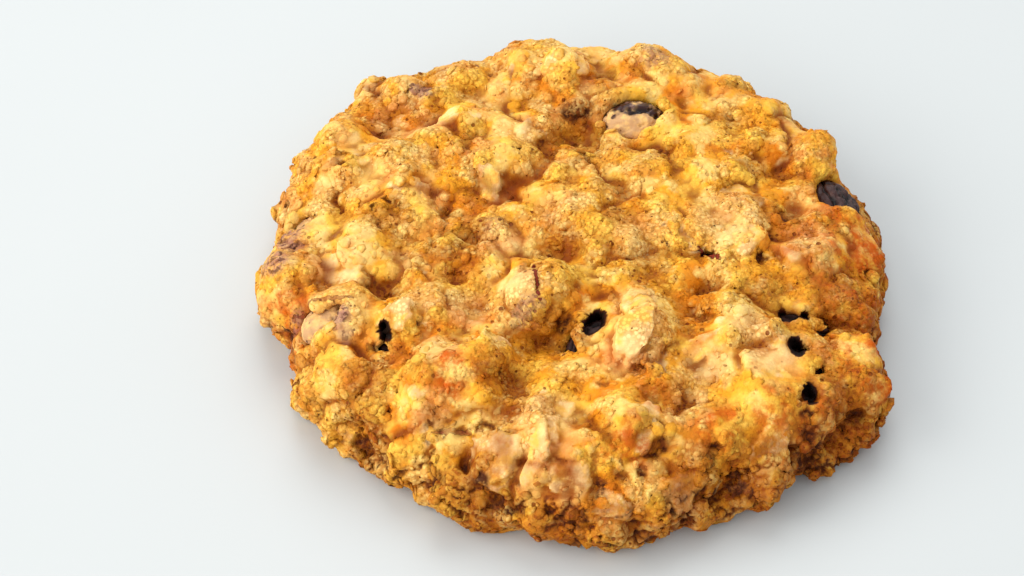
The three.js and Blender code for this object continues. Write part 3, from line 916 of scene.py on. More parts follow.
# Creamy places.
CREAMY = [
    (-7.0, -9.6, 3.6, 1.0), (6.5, -11.4, 3.4, 1.0), (6.5, -18.6, 4.4, 1.0), (8.4, -15.3, 3.0, 0.7),
    (-16.4, -19.5, 3.6, 0.8), (-17.5, -27.4, 2.6, 0.7), (-13, -11.5, 4.0, 0.7), (-19, -10.9, 3.4, 0.7),
    (-29.6, -4.2, 4.4, 0.8), (19.8, -15.1, 3.4, 0.9), (22.6, -19.4, 4.6, 1.0), (14.9, -20.2, 3.4, 0.9),
    (12.9, -24.6, 2.8, 0.8), (11.0, -28.3, 2.4, 0.8), (-4.6, -28.6, 5.0, 0.8), (-5.4, -33.6, 4.0, 1.0),
    (-1.3, -36.7, 2.4, 0.8), (18.4, 2.6, 6.0, 0.8), (28.4, -0.7, 4.4, 0.8), (7.8, -0.1, 4.6, 0.6),
    (-9.4, 0.1, 4.0, 0.7), (-6.9, 18.7, 4.0, 0.5), (-2.0, 5.3, 4.0, 0.6), (-24.6, 11.8, 4.0, 0.5),
    (11.4, -36.8, 2.6, 0.9), (-28, -12.0, 4.0, 0.6), (23, -24.8, 1.6, 0.4), (-10.4, -30.8, 2.0, 0.7),
]
# Places where a raisin shows through a thin film of dough.
BRUISED = [
    (-35.6, 3.2, 2.6, 0.9), (-35.2, 0.4, 2.0, 0.8), (-36.9, -3.4, 2.4, 0.8), (-29.1, -13.3, 2.2, 0.9),
    (-28.2, -15.1, 1.4, 0.6), (-34.1, -10.4, 1.4, 0.6), (-19.4, 28.2, 1.8, 0.8), (10.8, 32.6, 2.6, 0.6),
    (-6.1, -12.9, 1.8, 0.6), (-7.4, -13.2, 1.6, 0.5), (-10, 2.6, 2.4, 0.3),
]
bent_places = shaped + 0.8 * warp
by_hand = {
    name: strongest(bent_places, rows, 0.35, 1.1)
    for name, rows in (
        ("toasted", TOASTED), ("browned_and_shaded", BROWNED_AND_SHADED), ("creamy", CREAMY), ("bruised", BRUISED)
    )
}
for name, values in by_hand.items():
    print(name, round(float((values > 0.3).mean()), 2), "of the skin")

# %% [markdown]
# ## The dough: what its points know
# Tops of crumbs and clumps are painted paler, as painted light, and hollows darker, as painted shade; the
# rim browns most, the side away from the window is painted darker as painted shade, and dough near a
# raisin takes a purple stain. These are worked out once from the mesh and stored on its points for the
# material to read. How far a point stands over the skin relaxed by a few rounds tells the tops of crumbs,
# by many rounds the tops of clumps.

# %% Heights
outwards = normals_of(dough_mesh)


def height_over(rounds):
    """How far each point stands over the skin relaxed by some rounds, in mm."""
    return np.einsum("ij,ij->i", shaped - relax(shaped, dough_edges, rounds), outwards)


crumb_tops = height_over(7) / 0.12
hollows = height_over(60) / 0.7
clump_tops = height_over(320) / 1.4

pit = np.zeros(len(shaped))
pit_rim = np.zeros(len(shaped))
for matrix in hole_matrices:
    back = np.array(matrix.inverted())
    away = np.linalg.norm(shaped @ back[:3, :3].T + back[:3, 3], axis=1)
    pit = np.maximum(pit, 1 - fade(away, 0.96, 1.15))
    pit_rim = np.maximum(pit_rim, 1 - fade(away, 1.2, 1.8))
print("in a hole", int((pit > 0.5).sum()), "points")

# %% Readings
# Painted shade: the rim's toast is stronger on the shaded side, and the right side is toasted, partly as
# painted shade.
toast_and_shade = (0.15 + 0.4 * shaded_side) * fade(from_axis, 28, 41)
right_toast_and_shade = fade(shaped[:, 0], 18, 36) * fade(-shaped[:, 1], -34, -4)
toast_and_shade = np.maximum(np.maximum(toast_and_shade, by_hand["toasted"]), right_toast_and_shade)
# Painted light: the side towards the window is made creamier.
lit_side = fade((shaped[:, 1] - shaped[:, 0]) / 54, -0.3, 1.0)
cream = np.maximum(by_hand["creamy"], 0.6 * lit_side * fade(middling, -0.2, 0.3))
side_wall = (1 - fade(shaped[:, 2], 2.5, 10.5)) * fade(from_axis, 24, 34)
readings = {
    "crumb_tops": np.clip(crumb_tops, -1, 1),
    "hollows": np.clip(hollows, -1, 1),
    "clump_tops": np.clip(clump_tops, -1, 1),
    "toast_and_shade": np.clip(toast_and_shade, 0, 1),
    "browned_and_shaded": by_hand["browned_and_shaded"],
    "cream": cream,
    "bruised": by_hand["bruised"],
    # Painted shade on the side away from the window, with some browning of the whole side.
    "wall": np.clip(side_wall * (0.05 + 1.3 * shaded_side), 0, 1),
    "low_shaded_side": side_wall * (0.1 + 0.9 * shaded_side),
    "stain": 1 - fade(raisin_away, 0.2, 1.0),
    "oat": oat,
    "crumbly": crumbly,
    # Pores and gaps, which the finish paints dark as painted shade.
    "openings": np.clip(pores / 0.4 + gaps / 0.55, 0, 1),
    "valleys": valleys,
    "pit": pit,
    "tone": np.full(len(shaped), 0.5),
}
for name, values in readings.items():
    print(name, np.round(np.percentile(values, (5, 50, 95)), 2))

# %% [markdown]
# ## Loose crumbs: their shapes
# The crumbs that a fingertip would brush off are separate little pieces, half sunk in the skin:
# nubs one to two millimetres wide, and on and between them crumbs about half as wide. Each is a
# small ball with twenty or thirty faces, made uneven, stretched and turned at random. All the
# copies of a ball are worked out together as arrays, which is far quicker than an operator for
# each.

# %% Crumb shapes
UNEVEN = (0.82, 1.18)
LEAST_STRETCH = (0.85, 0.85, 0.34)
MOST_STRETCH = (1.5, 1.5, 0.52)


def ball_of(operator, **settings):
    """The corners of a small ball, and for each face the numbers of its corners."""
    shape = bmesh.new()
    operator(shape, radius=1, **settings)
    shape.verts.index_update()
    corners = np.array([tuple(corner.co) for corner in shape.verts])
    faces = [[corner.index for corner in face.verts] for face in shape.faces]
    shape.free()
    return corners, faces


def copies_of(corners, random, middles, ways_out, sizes):
    """The points of the copies, and how high in its ball each point is, from -1 to 1."""
    aside = np.cross(ways_out, random.normal(size=ways_out.shape))
    aside /= np.linalg.norm(aside, axis=1)[:, None]
    across = np.cross(ways_out, aside)
    lengths = sizes[:, None] * random.uniform(LEAST_STRETCH, MOST_STRETCH, (len(sizes), 3))
    frames = np.stack([aside, across, ways_out], 2) * lengths[:, None, :]
    uneven = corners * random.uniform(*UNEVEN, (len(sizes), len(corners), 1))
    return np.einsum("nij,nkj->nki", frames, uneven) + middles[:, None], uneven[:, :, 2]


NUB_BALL = ball_of(bmesh.ops.create_uvsphere, u_segments=7, v_segments=4)
CRUMB_BALL = ball_of(bmesh.ops.create_icosphere, subdivisions=1)
print("faces of a nub", len(NUB_BALL[1]), "and of a crumb", len(CRUMB_BALL[1]))

# %% [markdown]
# ## Loose crumbs: where they sit
# Crumbs are spread like seeds on a bed: a place is taken at random, a round space about it is
# closed to the others, and so on. They keep off the raisins, the oats, the holes and the buttery
# places, and grow thick where the skin is crumbly. The small ones may also sit on the nubs.

# %% Loose crumbs
NUBS = {"count": 4600, "reach": (0.4, 0.85), "sunk": (0.5, 1.0)}
CRUMBS = {"count": 9900, "reach": (0.24, 0.52), "sunk": (0.35, 0.95)}
SPACING = 0.85
SHADED = 1.1
MEAN_THICKNESS = 0.43
THICK_ENOUGH = 1.6


def spread(spots, random, count, reach):
    """The numbers of the spots that are taken and the sizes of the crumbs there."""
    tree = tree_of(spots["places"])
    free = np.ones(len(spots["places"]), dtype=bool)
    taken, sizes = [], []
    for number in random.permutation(len(free)):
        size = random.uniform(*reach)
        if not free[number] or random.random() > spots["chances"][number]:
            continue
        if 0.55 * size + 0.1 > spots["raisin"][number] or 1.2 * size + 0.1 > spots["mouth"][number]:
            continue
        inside = Vector(spots["places"][number] - 0.1 * spots["ways_out"][number])
        under = shaped_bvh.ray_cast(inside, Vector(-spots["ways_out"][number]))[3]
        if under is not None and under < THICK_ENOUGH * size:
            continue
        near, _ = near_to(tree, spots["places"][number], SPACING * size)
        free[near] = False
        taken.append(number)
        sizes.append(size)
        if len(taken) == count:
            break
    return np.array(taken), np.array(sizes)


def add_reading(mesh, name, values):
    layer = mesh.attributes.new(name, "FLOAT", "POINT")
    layer.data.foreach_set("value", np.asarray(values, dtype=np.float32))


def crumb_mesh(name, random, spots, ball, count, reach, sunk):
    """Joined copies of a ball over the spots, and their upper points as new spots."""
    corners, faces = ball
    taken, sizes = spread(spots, random, count, reach)
    here = {key: values[taken] for key, values in spots.items()}
    sunk = random.uniform(*sunk, len(sizes))
    middles = here["places"] - (MEAN_THICKNESS * sunk * sizes)[:, None] * here["ways_out"]
    points, heights = copies_of(corners, random, middles, here["ways_out"], sizes)
    points = np.clip(points, low, high)
    first = len(corners) * np.arange(len(sizes))
    mesh = bpy.data.meshes.new(name)
    mesh.from_pydata(
        (points.reshape(-1, 3) * MM).tolist(),
        [],
        [[start + corner for corner in face] for start in first for face in faces],
    )
    # Each crumb's own height in its ball, by which the finish paints its top lighter and its foot darker,
    # as painted light and shade.
    own = {
        "crumb_tops": np.clip((heights - sunk[:, None]) / (1 - sunk[:, None]) * 0.8, -0.6, 1).ravel(),
        "tone": np.repeat(random.uniform(0, 1, len(sizes)), len(corners)),
    }
    for reading_name, values in readings.items():
        copied = np.repeat(values[here["skin"]], len(corners))
        add_reading(mesh, reading_name, own.get(reading_name, copied))
    upper = heights > sunk[:, None]
    ways_out = points - middles[:, None]
    ways_out /= np.linalg.norm(ways_out, axis=2)[:, :, None]
    new_spots = {
        key: np.repeat(here[key], len(corners)).reshape(heights.shape)[upper]
        for key in ("skin", "chances", "raisin", "mouth")
    }
    new_spots["places"] = points[upper]
    new_spots["ways_out"] = ways_out[upper]
    # The skin round each crumb is marked, and the finish paints it darker as the crumb's shade.
    for place, size in zip(here["places"], sizes):
        near, _ = near_to(shaped_tree, place, SHADED * size)
        between[near] = 1
    print(name, len(sizes))
    return mesh, new_spots


# %% [markdown]
# ## Loose crumbs: spread
# The chance of a crumb at a point is worked out from what the points know. Nubs come first. Crumbs
# then fall on the skin and on the upper sides of the nubs, and all copy the readings of the skin
# under them, so one finish colours everything.

# %% Spread
shaped_tree = tree_of(shaped)
shaped_bvh = BVHTree.FromPolygons(
    [Vector(place) for place in shaped], [tuple(face.vertices) for face in dough_mesh.polygons]
)
between = np.zeros(len(shaped))
room = (1 - 0.6 * on_wall) * (0.3 + 0.7 * crumbly) * (1 - oat) * (1 - smooth) * (1 - pit_rim)
mouth_away = np.array([mouth_tree.find(place)[2] for place in shaped])
skin_spots = {
    "places": shaped,
    "ways_out": outwards,
    "skin": np.arange(len(shaped)),
    "chances": room * (shaped[:, 2] > 0.9),
    "raisin": raisin_away,
    "mouth": mouth_away,
}
random = np.random.default_rng(47)
nubs_mesh, nub_spots = crumb_mesh("cookie_nubs", random, skin_spots, NUB_BALL, **NUBS)
bed_spots = {key: np.concatenate([skin_spots[key], nub_spots[key]]) for key in skin_spots}
crumbs_mesh, _ = crumb_mesh("cookie_crumbs", random, bed_spots, CRUMB_BALL, **CRUMBS)
readings["between"] = between * (1 - oat)
for mesh in (nubs_mesh, crumbs_mesh):
    add_reading(mesh, "between", np.zeros(len(mesh.vertices)))
for name, values in readings.items():
    add_reading(dough_mesh, name, values)

# %% [markdown]
# ## The flat underside
# The cookie lies on a flat base, whose even little squares carry nothing, so they are dissolved
# into a few large faces. That keeps the piece light.

# %% Underside
FLAT = 0.02


def flatten_underside(mesh):
    shape = bmesh.new()
    shape.from_mesh(mesh)
    for corner in shape.verts:
        if corner.co.z < FLAT * MM:
            corner.co.z = 0
    flat = {face for face in shape.faces if all(corner.co.z == 0 for corner in face.verts)}
    # Lists in the mesh's own order, so that every run dissolves them alike.
    edges = [edge for edge in shape.edges if not flat.isdisjoint(edge.link_faces)]
    corners = [corner for corner in shape.verts if not flat.isdisjoint(corner.link_faces)]
    bmesh.ops.dissolve_limit(shape, angle_limit=radians(1), verts=corners, edges=edges)
    shape.to_mesh(mesh)
    shape.free()


faces_before = len(dough_mesh.polygons)
flatten_underside(dough_mesh)
print("faces", faces_before, "now", len(dough_mesh.polygons))

# %% [markdown]
# ## The dough: colours
# The recipe goes from the broad to the fine, as a painter would: golden dough with tan areas, pale
# tops, cream oats, toasted brown places, a darker side, dark hollows, and at last pores and grain.
# The colours are named for what they are on a cookie.

# %% Dough colours
PALE_CREAM = srgb(246, 209, 148)
CREAM = srgb(243, 204, 116)
PALE_GOLD = srgb(244, 193, 74)
GOLD = srgb(238, 165, 38)
TAN = srgb(222, 131, 22)
TOAST = srgb(194, 86, 10)
GOLDEN_BROWN = srgb(178, 106, 16)
BROWN_CRUMB = srgb(136, 62, 8)
BROWN = srgb(116, 46, 4)
CREVICE_SHADE = srgb(60, 20, 4)
PIT_SHADE = srgb(16, 6, 4)
PLUM = srgb(120, 60, 48)
LILAC = srgb(160, 112, 98)
DARK_PLUM = srgb(70, 28, 20)
SLIT_RAISIN_AND_SHADE = srgb(124, 48, 30)
OAT_CREAM = srgb(252, 212, 146)
OAT_YELLOW = srgb(252, 196, 92)

# Thin dark slits, painted raisin red and shade: place on the base plane, half the width and length, turn,
# and how dark.
SLITS = [
    (-5.1, -9.0, 0.22, 3.3, 6, 1.0), (-31.1, -10.5, 0.22, 3.0, 82, 0.6),
    (16.1, -2.9, 0.3, 1.5, 55, 1.0), (-14.3, -29.1, 0.22, 2.6, 91, 0.5),
]

# %% [markdown]
# ## Helpers for the finishes
# `reading` fetches a value that the mesh carries. `stretch` turns a value into a share: 0 at one
# end, 1 at the other. Two kinds of cells give what noise can't: domes that touch, for crumbs, and
# scattered dots, for pores.

# %% Finish helpers
def reading(tree, name):
    """A value that the mesh carries at each of its points."""
    return node(tree, "ShaderNodeAttribute", attribute_name=name).outputs["Fac"]


def stretch(tree, value, low, high, to_low=0.0, to_high=1.0):
    """Spreads the values between low and high, with soft ends."""
    return node(
        tree,
        "ShaderNodeMapRange",
        {"Value": value, "From Min": low, "From Max": high, "To Min": to_low, "To Max": to_high},
        interpolation_type="SMOOTHSTEP",
    ).outputs["Result"]


def arithmetic(tree, operation, first, second, clamp=False):
    made = node(tree, "ShaderNodeMath", {0: first, 1: second}, operation=operation)
    made.use_clamp = clamp
    return made.outputs[0]


def product(tree, first, second):
    return arithmetic(tree, "MULTIPLY", first, second)


def crumb_cells(tree, size):
    """Small round domes side by side, size mm wide, 1 at their tops."""
    places = node(tree, "ShaderNodeTexCoord").outputs["Object"]
    cells = node(tree, "ShaderNodeTexVoronoi", {"Vector": places, "Scale": 1 / (size * MM)})
    return arithmetic(tree, "SUBTRACT", 1.0, cells.outputs["Distance"])


def dots(tree, spacing, size, shift=(0, 0, 0)):
    """Little dots of uneven size, the largest size mm wide, none in some cells: 1 inside."""
    inputs = {"Vector": own_places(tree, spacing, shift), "Scale": 1.0}
    cells = node(tree, "ShaderNodeTexVoronoi", inputs)
    radius = stretch(tree, cells.outputs["Color"], 0.25, 0.9, -0.1, size / spacing / 2)
    inside = arithmetic(tree, "SUBTRACT", radius, cells.outputs["Distance"])
    return stretch(tree, inside, -0.02, 0.05)


def streak(tree, x, y, half_width, half_length, turn, dark):
    """How dark the places in a long thin oval on the base plane are; its edge is ragged."""
    mapped = node(
        tree,
        "ShaderNodeMapping",
        {
            "Vector": node(tree, "ShaderNodeTexCoord").outputs["Object"],
            "Location": (x * MM, y * MM, 0),
            "Rotation": (0, 0, radians(turn)),
            "Scale": (half_width * MM, half_length * MM, 1),
        },
        vector_type="TEXTURE",
    )
    away = node(
        tree, "ShaderNodeVectorMath", {0: mapped.outputs["Vector"]}, operation="LENGTH"
    ).outputs["Value"]
    ragged = stretch(tree, pattern(tree, 0.7, 2, shift=(4, 4, 4)), 0.3, 0.7, -0.7, 0.5)
    return stretch(tree, arithmetic(tree, "ADD", away, ragged), 1.15, 0.75, 0.0, dark)


def bumps(tree, height, depth, strength=1.0, under=None):
    """Small relief in the shading: height times depth, in mm."""
    inputs = {"Height": height, "Distance": depth * MM, "Strength": strength}
    if under is not None:
        inputs["Normal"] = under
    return node(tree, "ShaderNodeBump", inputs).outputs["Normal"]


# %% [markdown]
# ## The dough: golden ground
# Patterns of 4 and 8 mm lay gold, tan and pale gold side by side. The tops of clumps are painted paler and
# the tops of crumbs creamier, partly as painted light, and each loose crumb is a little darker or creamier
# by its own tone.

# %% Golden ground
dough_material, tree, shader = new_material("baked_dough")
crumbly_here = reading(tree, "crumbly")
oats = reading(tree, "oat")
tops = reading(tree, "crumb_tops")

colour = blend(tree, stretch(tree, pattern(tree, 8, 2), 0.44, 0.6), GOLD, TAN)
# Painted light: the tops of clumps are paler.
pale_and_lit = arithmetic(
    tree,
    "ADD",
    stretch(tree, pattern(tree, 4.2, 3, shift=(4, 1, 9)), 0.46, 0.6),
    stretch(tree, reading(tree, "clump_tops"), -0.6, 1.0, -0.3, 0.5),
    clamp=True,
)
colour = blend(tree, pale_and_lit, colour, PALE_GOLD)
darker_crumb = stretch(tree, reading(tree, "tone"), 0.5, 0.0, 0.0, 0.2)
colour = blend(tree, darker_crumb, colour, TAN)
# Creamier on the tops of crumbs, partly as painted light.
creamy = product(
    tree,
    stretch(tree, pattern(tree, 3.8, 4, shift=(2, 7, 3)), 0.48, 0.6),
    stretch(tree, tops, -0.8, 0.6, 0.3, 1.0),
)
paler_crumb = stretch(tree, reading(tree, "tone"), 0.5, 1.0, 0.0, 0.15)
creamy = arithmetic(tree, "ADD", creamy, paler_crumb, clamp=True)
colour = blend(tree, creamy, colour, CREAM)
# Creamy places and the side towards the window, creamiest on the tops of crumbs, partly as painted light.
cream_and_lit_here = product(tree, reading(tree, "cream"), stretch(tree, tops, -1, 0.4, 0.35, 0.7))
colour = blend(tree, cream_and_lit_here, colour, PALE_CREAM)

# %% [markdown]
# ## The dough: oats and toast
# Oats are pale where they are bare, and a pattern leaves dough on parts of them. Toast comes over both:
# where the readings ask for it, which on the shaded side and on the right is partly painted shade, and as
# a mottling everywhere.

# %% Oats and toast
oat_colour = blend(
    tree, stretch(tree, pattern(tree, 2.2, 3, shift=(1, 2, 3)), 0.4, 0.62), OAT_CREAM, OAT_YELLOW
)
oats_bare = product(
    tree, oats, stretch(tree, pattern(tree, 1.6, 4, roughness=0.65, shift=(6, 2, 8)), 0.7, 0.52)
)
colour = blend(tree, oats_bare, colour, oat_colour)
# The toast reading is partly painted shade on the shaded side and the right.
toasted = product(
    tree,
    reading(tree, "toast_and_shade"),
    stretch(tree, pattern(tree, 2.4, 4, roughness=0.65, shift=(8, 3, 5)), 0.36, 0.62),
)
colour = blend(tree, toasted, colour, TOAST)
mottled = stretch(tree, pattern(tree, 4.4, 5, roughness=0.65, shift=(3, 8, 6)), 0.52, 0.68, 0, 0.5)
colour = blend(tree, mottled, colour, TOAST)

# %% [markdown]
# ## The dough: painted shade on the side and in the hollows
# The shaded side, partly browned by the oven too, and whatever is sunken are painted brown, as painted
# shade, less so the tops of the crumbs there. Each blend reads how far a point stands over its neighbours,
# so the colour follows the relief.

# %% Side and hollows
# Painted shade on the side away from the window, partly the side's own browning.
side = product(
    tree,
    reading(tree, "wall"),
    stretch(tree, pattern(tree, 3.0, 4, roughness=0.6, shift=(7, 7, 2)), 0.25, 0.6, 0.3, 0.9),
)
side = product(tree, side, stretch(tree, tops, 0.5, -0.5, 0.45, 1.0))
colour = blend(tree, side, colour, BROWN)
# Painted shade in hollows, darkest in the deepest.
sunken_shade = stretch(tree, reading(tree, "hollows"), -0.05, -0.85, 0.0, 0.8)
colour = blend(tree, sunken_shade, colour, BROWN)
deepest_shade = stretch(tree, reading(tree, "hollows"), -0.6, -1.0, 0.0, 0.9)
colour = blend(tree, deepest_shade, colour, CREVICE_SHADE)
# Painted shade between crumbs.
shade_between_crumbs = stretch(tree, tops, -0.2, -1.0, 0.0, 0.5)
colour = blend(tree, shade_between_crumbs, colour, BROWN_CRUMB)
# Painted shade in the valleys between clumps.
colour = blend(tree, product(tree, reading(tree, "valleys"), 0.6), colour, BROWN)
# Painted shade in the creases and under the crumb tops of the shaded side.
low_shaded_side = reading(tree, "low_shaded_side")
shade_in_creases = product(tree, low_shaded_side, stretch(tree, reading(tree, "hollows"), 0.1, -0.5, 0.0, 0.85))
colour = blend(tree, shade_in_creases, colour, BROWN)
shade_under_tops = product(tree, low_shaded_side, stretch(tree, tops, 0.5, -0.6, 0.05, 0.7))
colour = blend(tree, shade_under_tops, colour, BROWN_CRUMB)
# Brown places, partly painted shade, darker away from the crumb tops.
browned_and_shaded_here = product(tree, reading(tree, "browned_and_shaded"), stretch(tree, tops, 0.9, -0.4, 0.5, 1.0))
ragged = stretch(tree, pattern(tree, 1.3, 4, roughness=0.65, shift=(9, 5, 3)), 0.3, 0.55, 0.45, 1.0)
browned_and_shaded_here = product(tree, browned_and_shaded_here, ragged)
colour = blend(tree, browned_and_shaded_here, colour, BROWN_CRUMB)
# Painted shade on the skin round the loose crumbs.
colour = blend(tree, product(tree, reading(tree, "between"), 0.16), colour, BROWN_CRUMB)
colour = blend(tree, product(tree, reading(tree, "stain"), 0.3), colour, PLUM)

# %% [markdown]
# ## The dough: pores and specks
# Fine patterns, under a millimetre, that are used twice: here they darken the colour, as painted shade in
# the net between granules and in the pits, and at the end they sink the surface, so that light and colour
# agree.

# %% Pores and specks
grain = pattern(tree, 0.42, 3, roughness=0.65)
coarse_grain = pattern(tree, 1.1, 4, roughness=0.65, shift=(3, 3, 3))
granules = crumb_cells(tree, 0.8)
pits = stretch(tree, pattern(tree, 0.36, 1, shift=(5, 5, 1)), 0.46, 0.3)
# Painted shade in the net between fine granules and in the pits.
shaded_fine_net = stretch(tree, crumb_cells(tree, 0.55), 0.62, 0.42, 0.0, 0.45)
shaded_fine_net = product(tree, shaded_fine_net, stretch(tree, crumbly_here, 0.1, 0.8, 0.2, 1.0))
colour = blend(tree, shaded_fine_net, colour, GOLDEN_BROWN)
shaded_pits = product(tree, pits, stretch(tree, crumbly_here, 0.1, 0.8, 0.05, 0.3))
shaded_pits = product(tree, shaded_pits, stretch(tree, oats, 0, 1, 1, 0.3))
colour = blend(tree, shaded_pits, colour, BROWN)
specks = arithmetic(
    tree, "MAXIMUM", dots(tree, 1.5, 0.62), dots(tree, 0.9, 0.36, shift=(3.3, 1.7, 5.1))
)
specks = product(tree, specks, stretch(tree, crumbly_here, 0.0, 0.9, 0.35, 0.85))
specks = product(tree, specks, stretch(tree, oats, 0.2, 0.8, 1.0, 0.1))
colour = blend(tree, specks, colour, BROWN)

# %% [markdown]
# ## The dough: bruises, openings and slits
# Over a raisin just under the skin the dough is lilac with dark plum spots. Gaps, holes and thin slits,
# over raisins and between clumps, go dark last, as nothing lies over them: their dark is painted shade,
# and in the slits also raisin red.

# %% Bruises, openings and slits
bruise = product(
    tree,
    reading(tree, "bruised"),
    stretch(tree, pattern(tree, 1.0, 3, roughness=0.65, shift=(3, 1, 6)), 0.34, 0.56, 0.15, 1.0),
)
colour = blend(tree, bruise, colour, LILAC)
dark_bruise = product(
    tree,
    reading(tree, "bruised"),
    stretch(tree, pattern(tree, 0.9, 2, roughness=0.6, shift=(1, 6, 4)), 0.53, 0.6, 0.0, 0.85),
)
colour = blend(tree, dark_bruise, colour, DARK_PLUM)
shade_in_openings = product(
    tree,
    reading(tree, "openings"),
    stretch(tree, pattern(tree, 0.8, 3, roughness=0.65, shift=(5, 9, 1)), 0.66, 0.4, 0.25, 0.95),
)
colour = blend(tree, shade_in_openings, colour, CREVICE_SHADE)
# Painted shade: the dough inside a hole over a raisin goes dark, and black deepest in.
colour = blend(tree, stretch(tree, reading(tree, "pit"), 0.0, 0.5), colour, CREVICE_SHADE)
colour = blend(tree, stretch(tree, reading(tree, "pit"), 0.4, 1.0), colour, PIT_SHADE)
# Painted slits, raisin red and shade, with only a bump under them.
slits = 0.0
for row in SLITS:
    slits = arithmetic(tree, "MAXIMUM", slits, streak(tree, *row))
colour = blend(tree, slits, colour, SLIT_RAISIN_AND_SHADE)

# %% [markdown]
# ## The dough: grain and relief
# Two grains make the colour a little darker and lighter from spot to spot. The skin is mostly dull, with a
# faint buttery sheen, and lets a little light in. The same patterns as above give the relief, from
# the coarse to the fine.

# %% Grain and relief
# What multiplies the colour at the dark and at the light end of a grain.
COARSE_SHADES = ((0.9, 0.84, 0.72, 1), (1.07, 1.1, 1.16, 1))
FINE_SHADES = ((0.94, 0.91, 0.86, 1), (1.05, 1.06, 1.08, 1))

uneven = blend(tree, coarse_grain, *COARSE_SHADES)
colour = blend(tree, 1.0, colour, uneven, way="MULTIPLY")
shade = blend(tree, grain, *FINE_SHADES)
colour = blend(tree, 1.0, colour, shade, way="MULTIPLY")
tree.links.new(colour, shader.inputs["Base Color"])
tree.links.new(stretch(tree, grain, 0.3, 0.7, 0.42, 0.66), shader.inputs["Roughness"])
shader.inputs["Specular IOR Level"].default_value = 0.09
shader.inputs["Subsurface Weight"].default_value = 0.04
shader.inputs["Subsurface Radius"].default_value = (1.0, 0.45, 0.18)
shader.inputs["Subsurface Scale"].default_value = 0.8 * MM
# Each relief: its height, how deep it goes in mm, and its strength.
RELIEFS = [
    (coarse_grain, 0.18, 0.9),
    (granules, 0.1, 0.8),
    (shaded_fine_net, -0.1, 0.8),
    (shaded_pits, -0.15, 0.9),
    (specks, -0.18, 0.9),
    (slits, -0.4, 1.0),
    (grain, 0.06, 0.9),
]
normal = None
for height, depth, strength in RELIEFS:
    normal = bumps(tree, height, depth, strength, under=normal)
tree.links.new(normal, shader.inputs["Normal"])
print("baked dough", len(tree.nodes), "nodes")

# %% [markdown]
# ## The dough: its pieces
# The skin replaces the CAD solid. The nubs and the crumbs lie on it and move with the same body.

# %% Dough pieces
def new_object(name, mesh, material):
    thing = bpy.data.objects.new(name, mesh)
    scene.collection.objects.link(thing)
    mesh.materials.clear()
    mesh.materials.append(material)
    mesh.shade_smooth()
    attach(thing, "root")
    triangles = sum(len(face.vertices) - 2 for face in mesh.polygons)
    print(name, len(mesh.vertices), "points,", triangles, "triangles")
    return thing


dough = new_object("cookie_dough", dough_mesh, dough_material)
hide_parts("cookie")
new_object("cookie_nubs", nubs_mesh, dough_material)
new_object("cookie_crumbs", crumbs_mesh, dough_material)

# %% [markdown]
# ## Raisins
# A raisin is a grape whose skin is now too large for it, so it folds into sharp wrinkles that run
# mostly along it. Each one starts from a copy of its CAD solid, refined three times, and its skin
# is pulled in along creases, never pushed out, so it stays in its pocket. The raisins that came
# near the top while baking kept a film of dough, which fills the wrinkles and hides the colour
# except for a few dark spots.

# %% Raisin shapes
WRINKLE_DEPTH = 0.65
WRINKLE_SIZE = 1.7
ALONG_SHARE = 0.5
# How much of a raisin is under a film of dough, from 0 to 1, and the way that its bare side looks.
FILMED = {
    "raisin_back": (0.62, (0.1, 0.9, 0.5)),
    "raisin_right": (0.2, (0.6, 0.3, 0.6)),
    "raisin_left": (0.55, (-0.6, -0.4, 0.4)),
    "raisin_front_left": (0.92, (0.4, -0.3, 0.7)),
    "raisin_middle": (0.8, (0, 0, -1)),
}
BARE = (0.0, (0, 0, 1))
# How much grey bloom a raisin has, partly a painted sheen on the lit ones; one that lies deep in a hole
# has none and is black, as painted shade.
BLOOM_AND_SHEEN = {"raisin_back": 1.0, "raisin_right": 0.35, "raisin_left": 1.0, "raisin_front_left": 1.0}


def wrinkled(node_name, number):
    shape = copy_of(node_name)
    for _ in range(3):
        bmesh.ops.subdivide_edges(shape, edges=shape.edges, cuts=1, use_grid_fill=True, smooth=0.6)
    mesh = bpy.data.meshes.new(node_name + "_skin")
    shape.to_mesh(mesh)
    shape.free()
    edges = edges_of(mesh)
    places = relax(places_of(mesh), edges, 4)
    put_places(mesh, places)
    centred = places - places.mean(0)
    along = np.linalg.svd(centred, full_matrices=False)[2][0]
    drawn_out = centred - (1 - ALONG_SHARE) * np.outer(centred @ along, along)
    folds = noise_at(drawn_out, WRINKLE_SIZE, octaves=2, shift=number * 5.3)
    creases = np.clip(1 - 2.4 * np.abs(folds), 0, 1) ** 2
    fine = np.clip(1 - 2 * np.abs(noise_at(places, 0.7, octaves=2, shift=number * 3.1)), 0, 1)
    share, bare_side = FILMED.get(node_name, BARE)
    bare_side = np.array(Vector(bare_side).normalized())
    lie = centred @ bare_side / np.abs(centred @ bare_side).max()
    patches = noise_at(places, 1.7, octaves=3, shift=number * 2.3)
    film = fade(2.4 * (share - 0.5) - 0.8 * lie + 1.0 * patches, -0.2, 0.3)
    depth = WRINKLE_DEPTH * (1 - 0.7 * film)
    put_places(mesh, places - (depth * creases + 0.1 * fine)[:, None] * normals_of(mesh))
    add_reading(mesh, "creases", creases * (1 - 0.6 * film))
    add_reading(mesh, "film", film)
    add_reading(mesh, "bloom_and_sheen", np.full(len(places), BLOOM_AND_SHEEN.get(node_name, 0.0)))
    return mesh


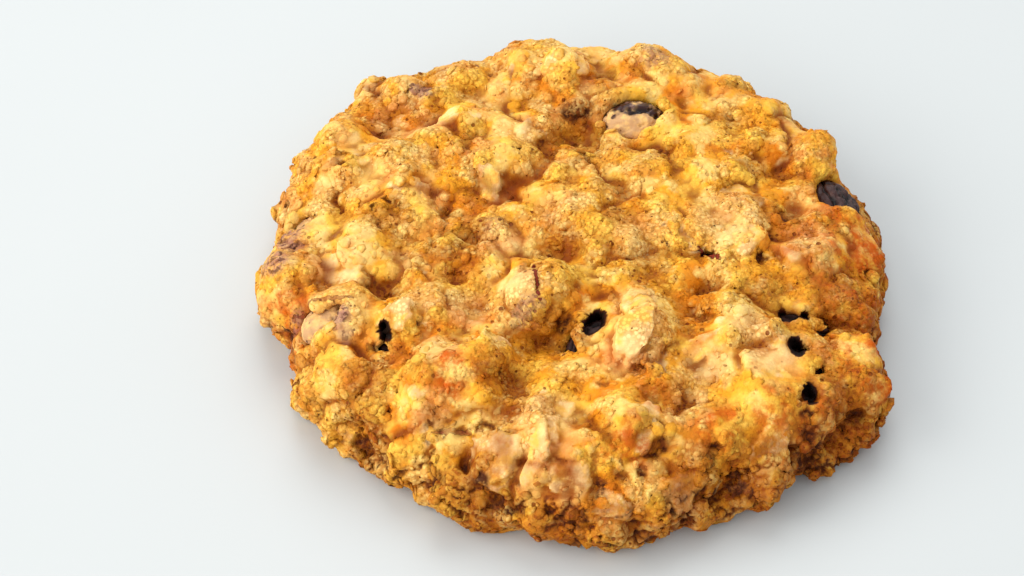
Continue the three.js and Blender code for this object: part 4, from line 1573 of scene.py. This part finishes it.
# %% [markdown]
# ## Raisins: their finish
# Nearly black in the creases, as painted shade, and deep plum between them. A grey bloom, partly a painted
# sheen, dulls the bare skin of those near the top; deep in a hole there is none, as painted shade. The
# film of dough is cream and grey, with pinholes.

# %% Raisin material
RAISIN_CREASE_SHADE = srgb(20, 7, 5)
RAISIN_PLUM = srgb(50, 20, 16)
RAISIN_BLOOM_AND_SHEEN = srgb(146, 108, 96)
FILM = srgb(222, 176, 108)
FILM_GREY = srgb(190, 146, 100)

raisin_material, tree, shader = new_material("raisin_skin")
# Painted shade in the creases.
colour = blend(tree, stretch(tree, reading(tree, "creases"), 0.1, 0.9), RAISIN_PLUM, RAISIN_CREASE_SHADE)
# Grey patches of bloom, partly a painted sheen.
bloom_and_sheen = stretch(tree, pattern(tree, 1.1, 4, roughness=0.7, shift=(2, 2, 7)), 0.5, 0.68, 0.0, 0.55)
bloom_and_sheen = product(tree, bloom_and_sheen, reading(tree, "bloom_and_sheen"))
colour = blend(tree, bloom_and_sheen, colour, RAISIN_BLOOM_AND_SHEEN)
covered = reading(tree, "film")
pinholes = stretch(tree, pattern(tree, 0.9, 1, shift=(9, 4, 2)), 0.66, 0.72, 1, 0.1)
covered = product(tree, covered, pinholes)
film_colour = blend(
    tree, stretch(tree, pattern(tree, 1.0, 3, shift=(5, 1, 2)), 0.35, 0.6), FILM, FILM_GREY
)
colour = blend(tree, covered, colour, film_colour)
tree.links.new(colour, shader.inputs["Base Color"])
dull = arithmetic(tree, "SUBTRACT", 1.0, reading(tree, "bloom_and_sheen"))
dull = arithmetic(tree, "MAXIMUM", covered, product(tree, dull, 0.7))
tree.links.new(stretch(tree, dull, 0, 1, 0.3, 0.7), shader.inputs["Roughness"])
shader.inputs["Specular IOR Level"].default_value = 0.3
normal = bumps(tree, covered, 0.15, 0.8)
normal = bumps(tree, pattern(tree, 0.5, 3), 0.1, 0.8, under=normal)
tree.links.new(normal, shader.inputs["Normal"])

for number, name in enumerate(RAISINS):
    skin = new_object(name + "_skin", wrinkled(name, number), raisin_material)
    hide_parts(name)
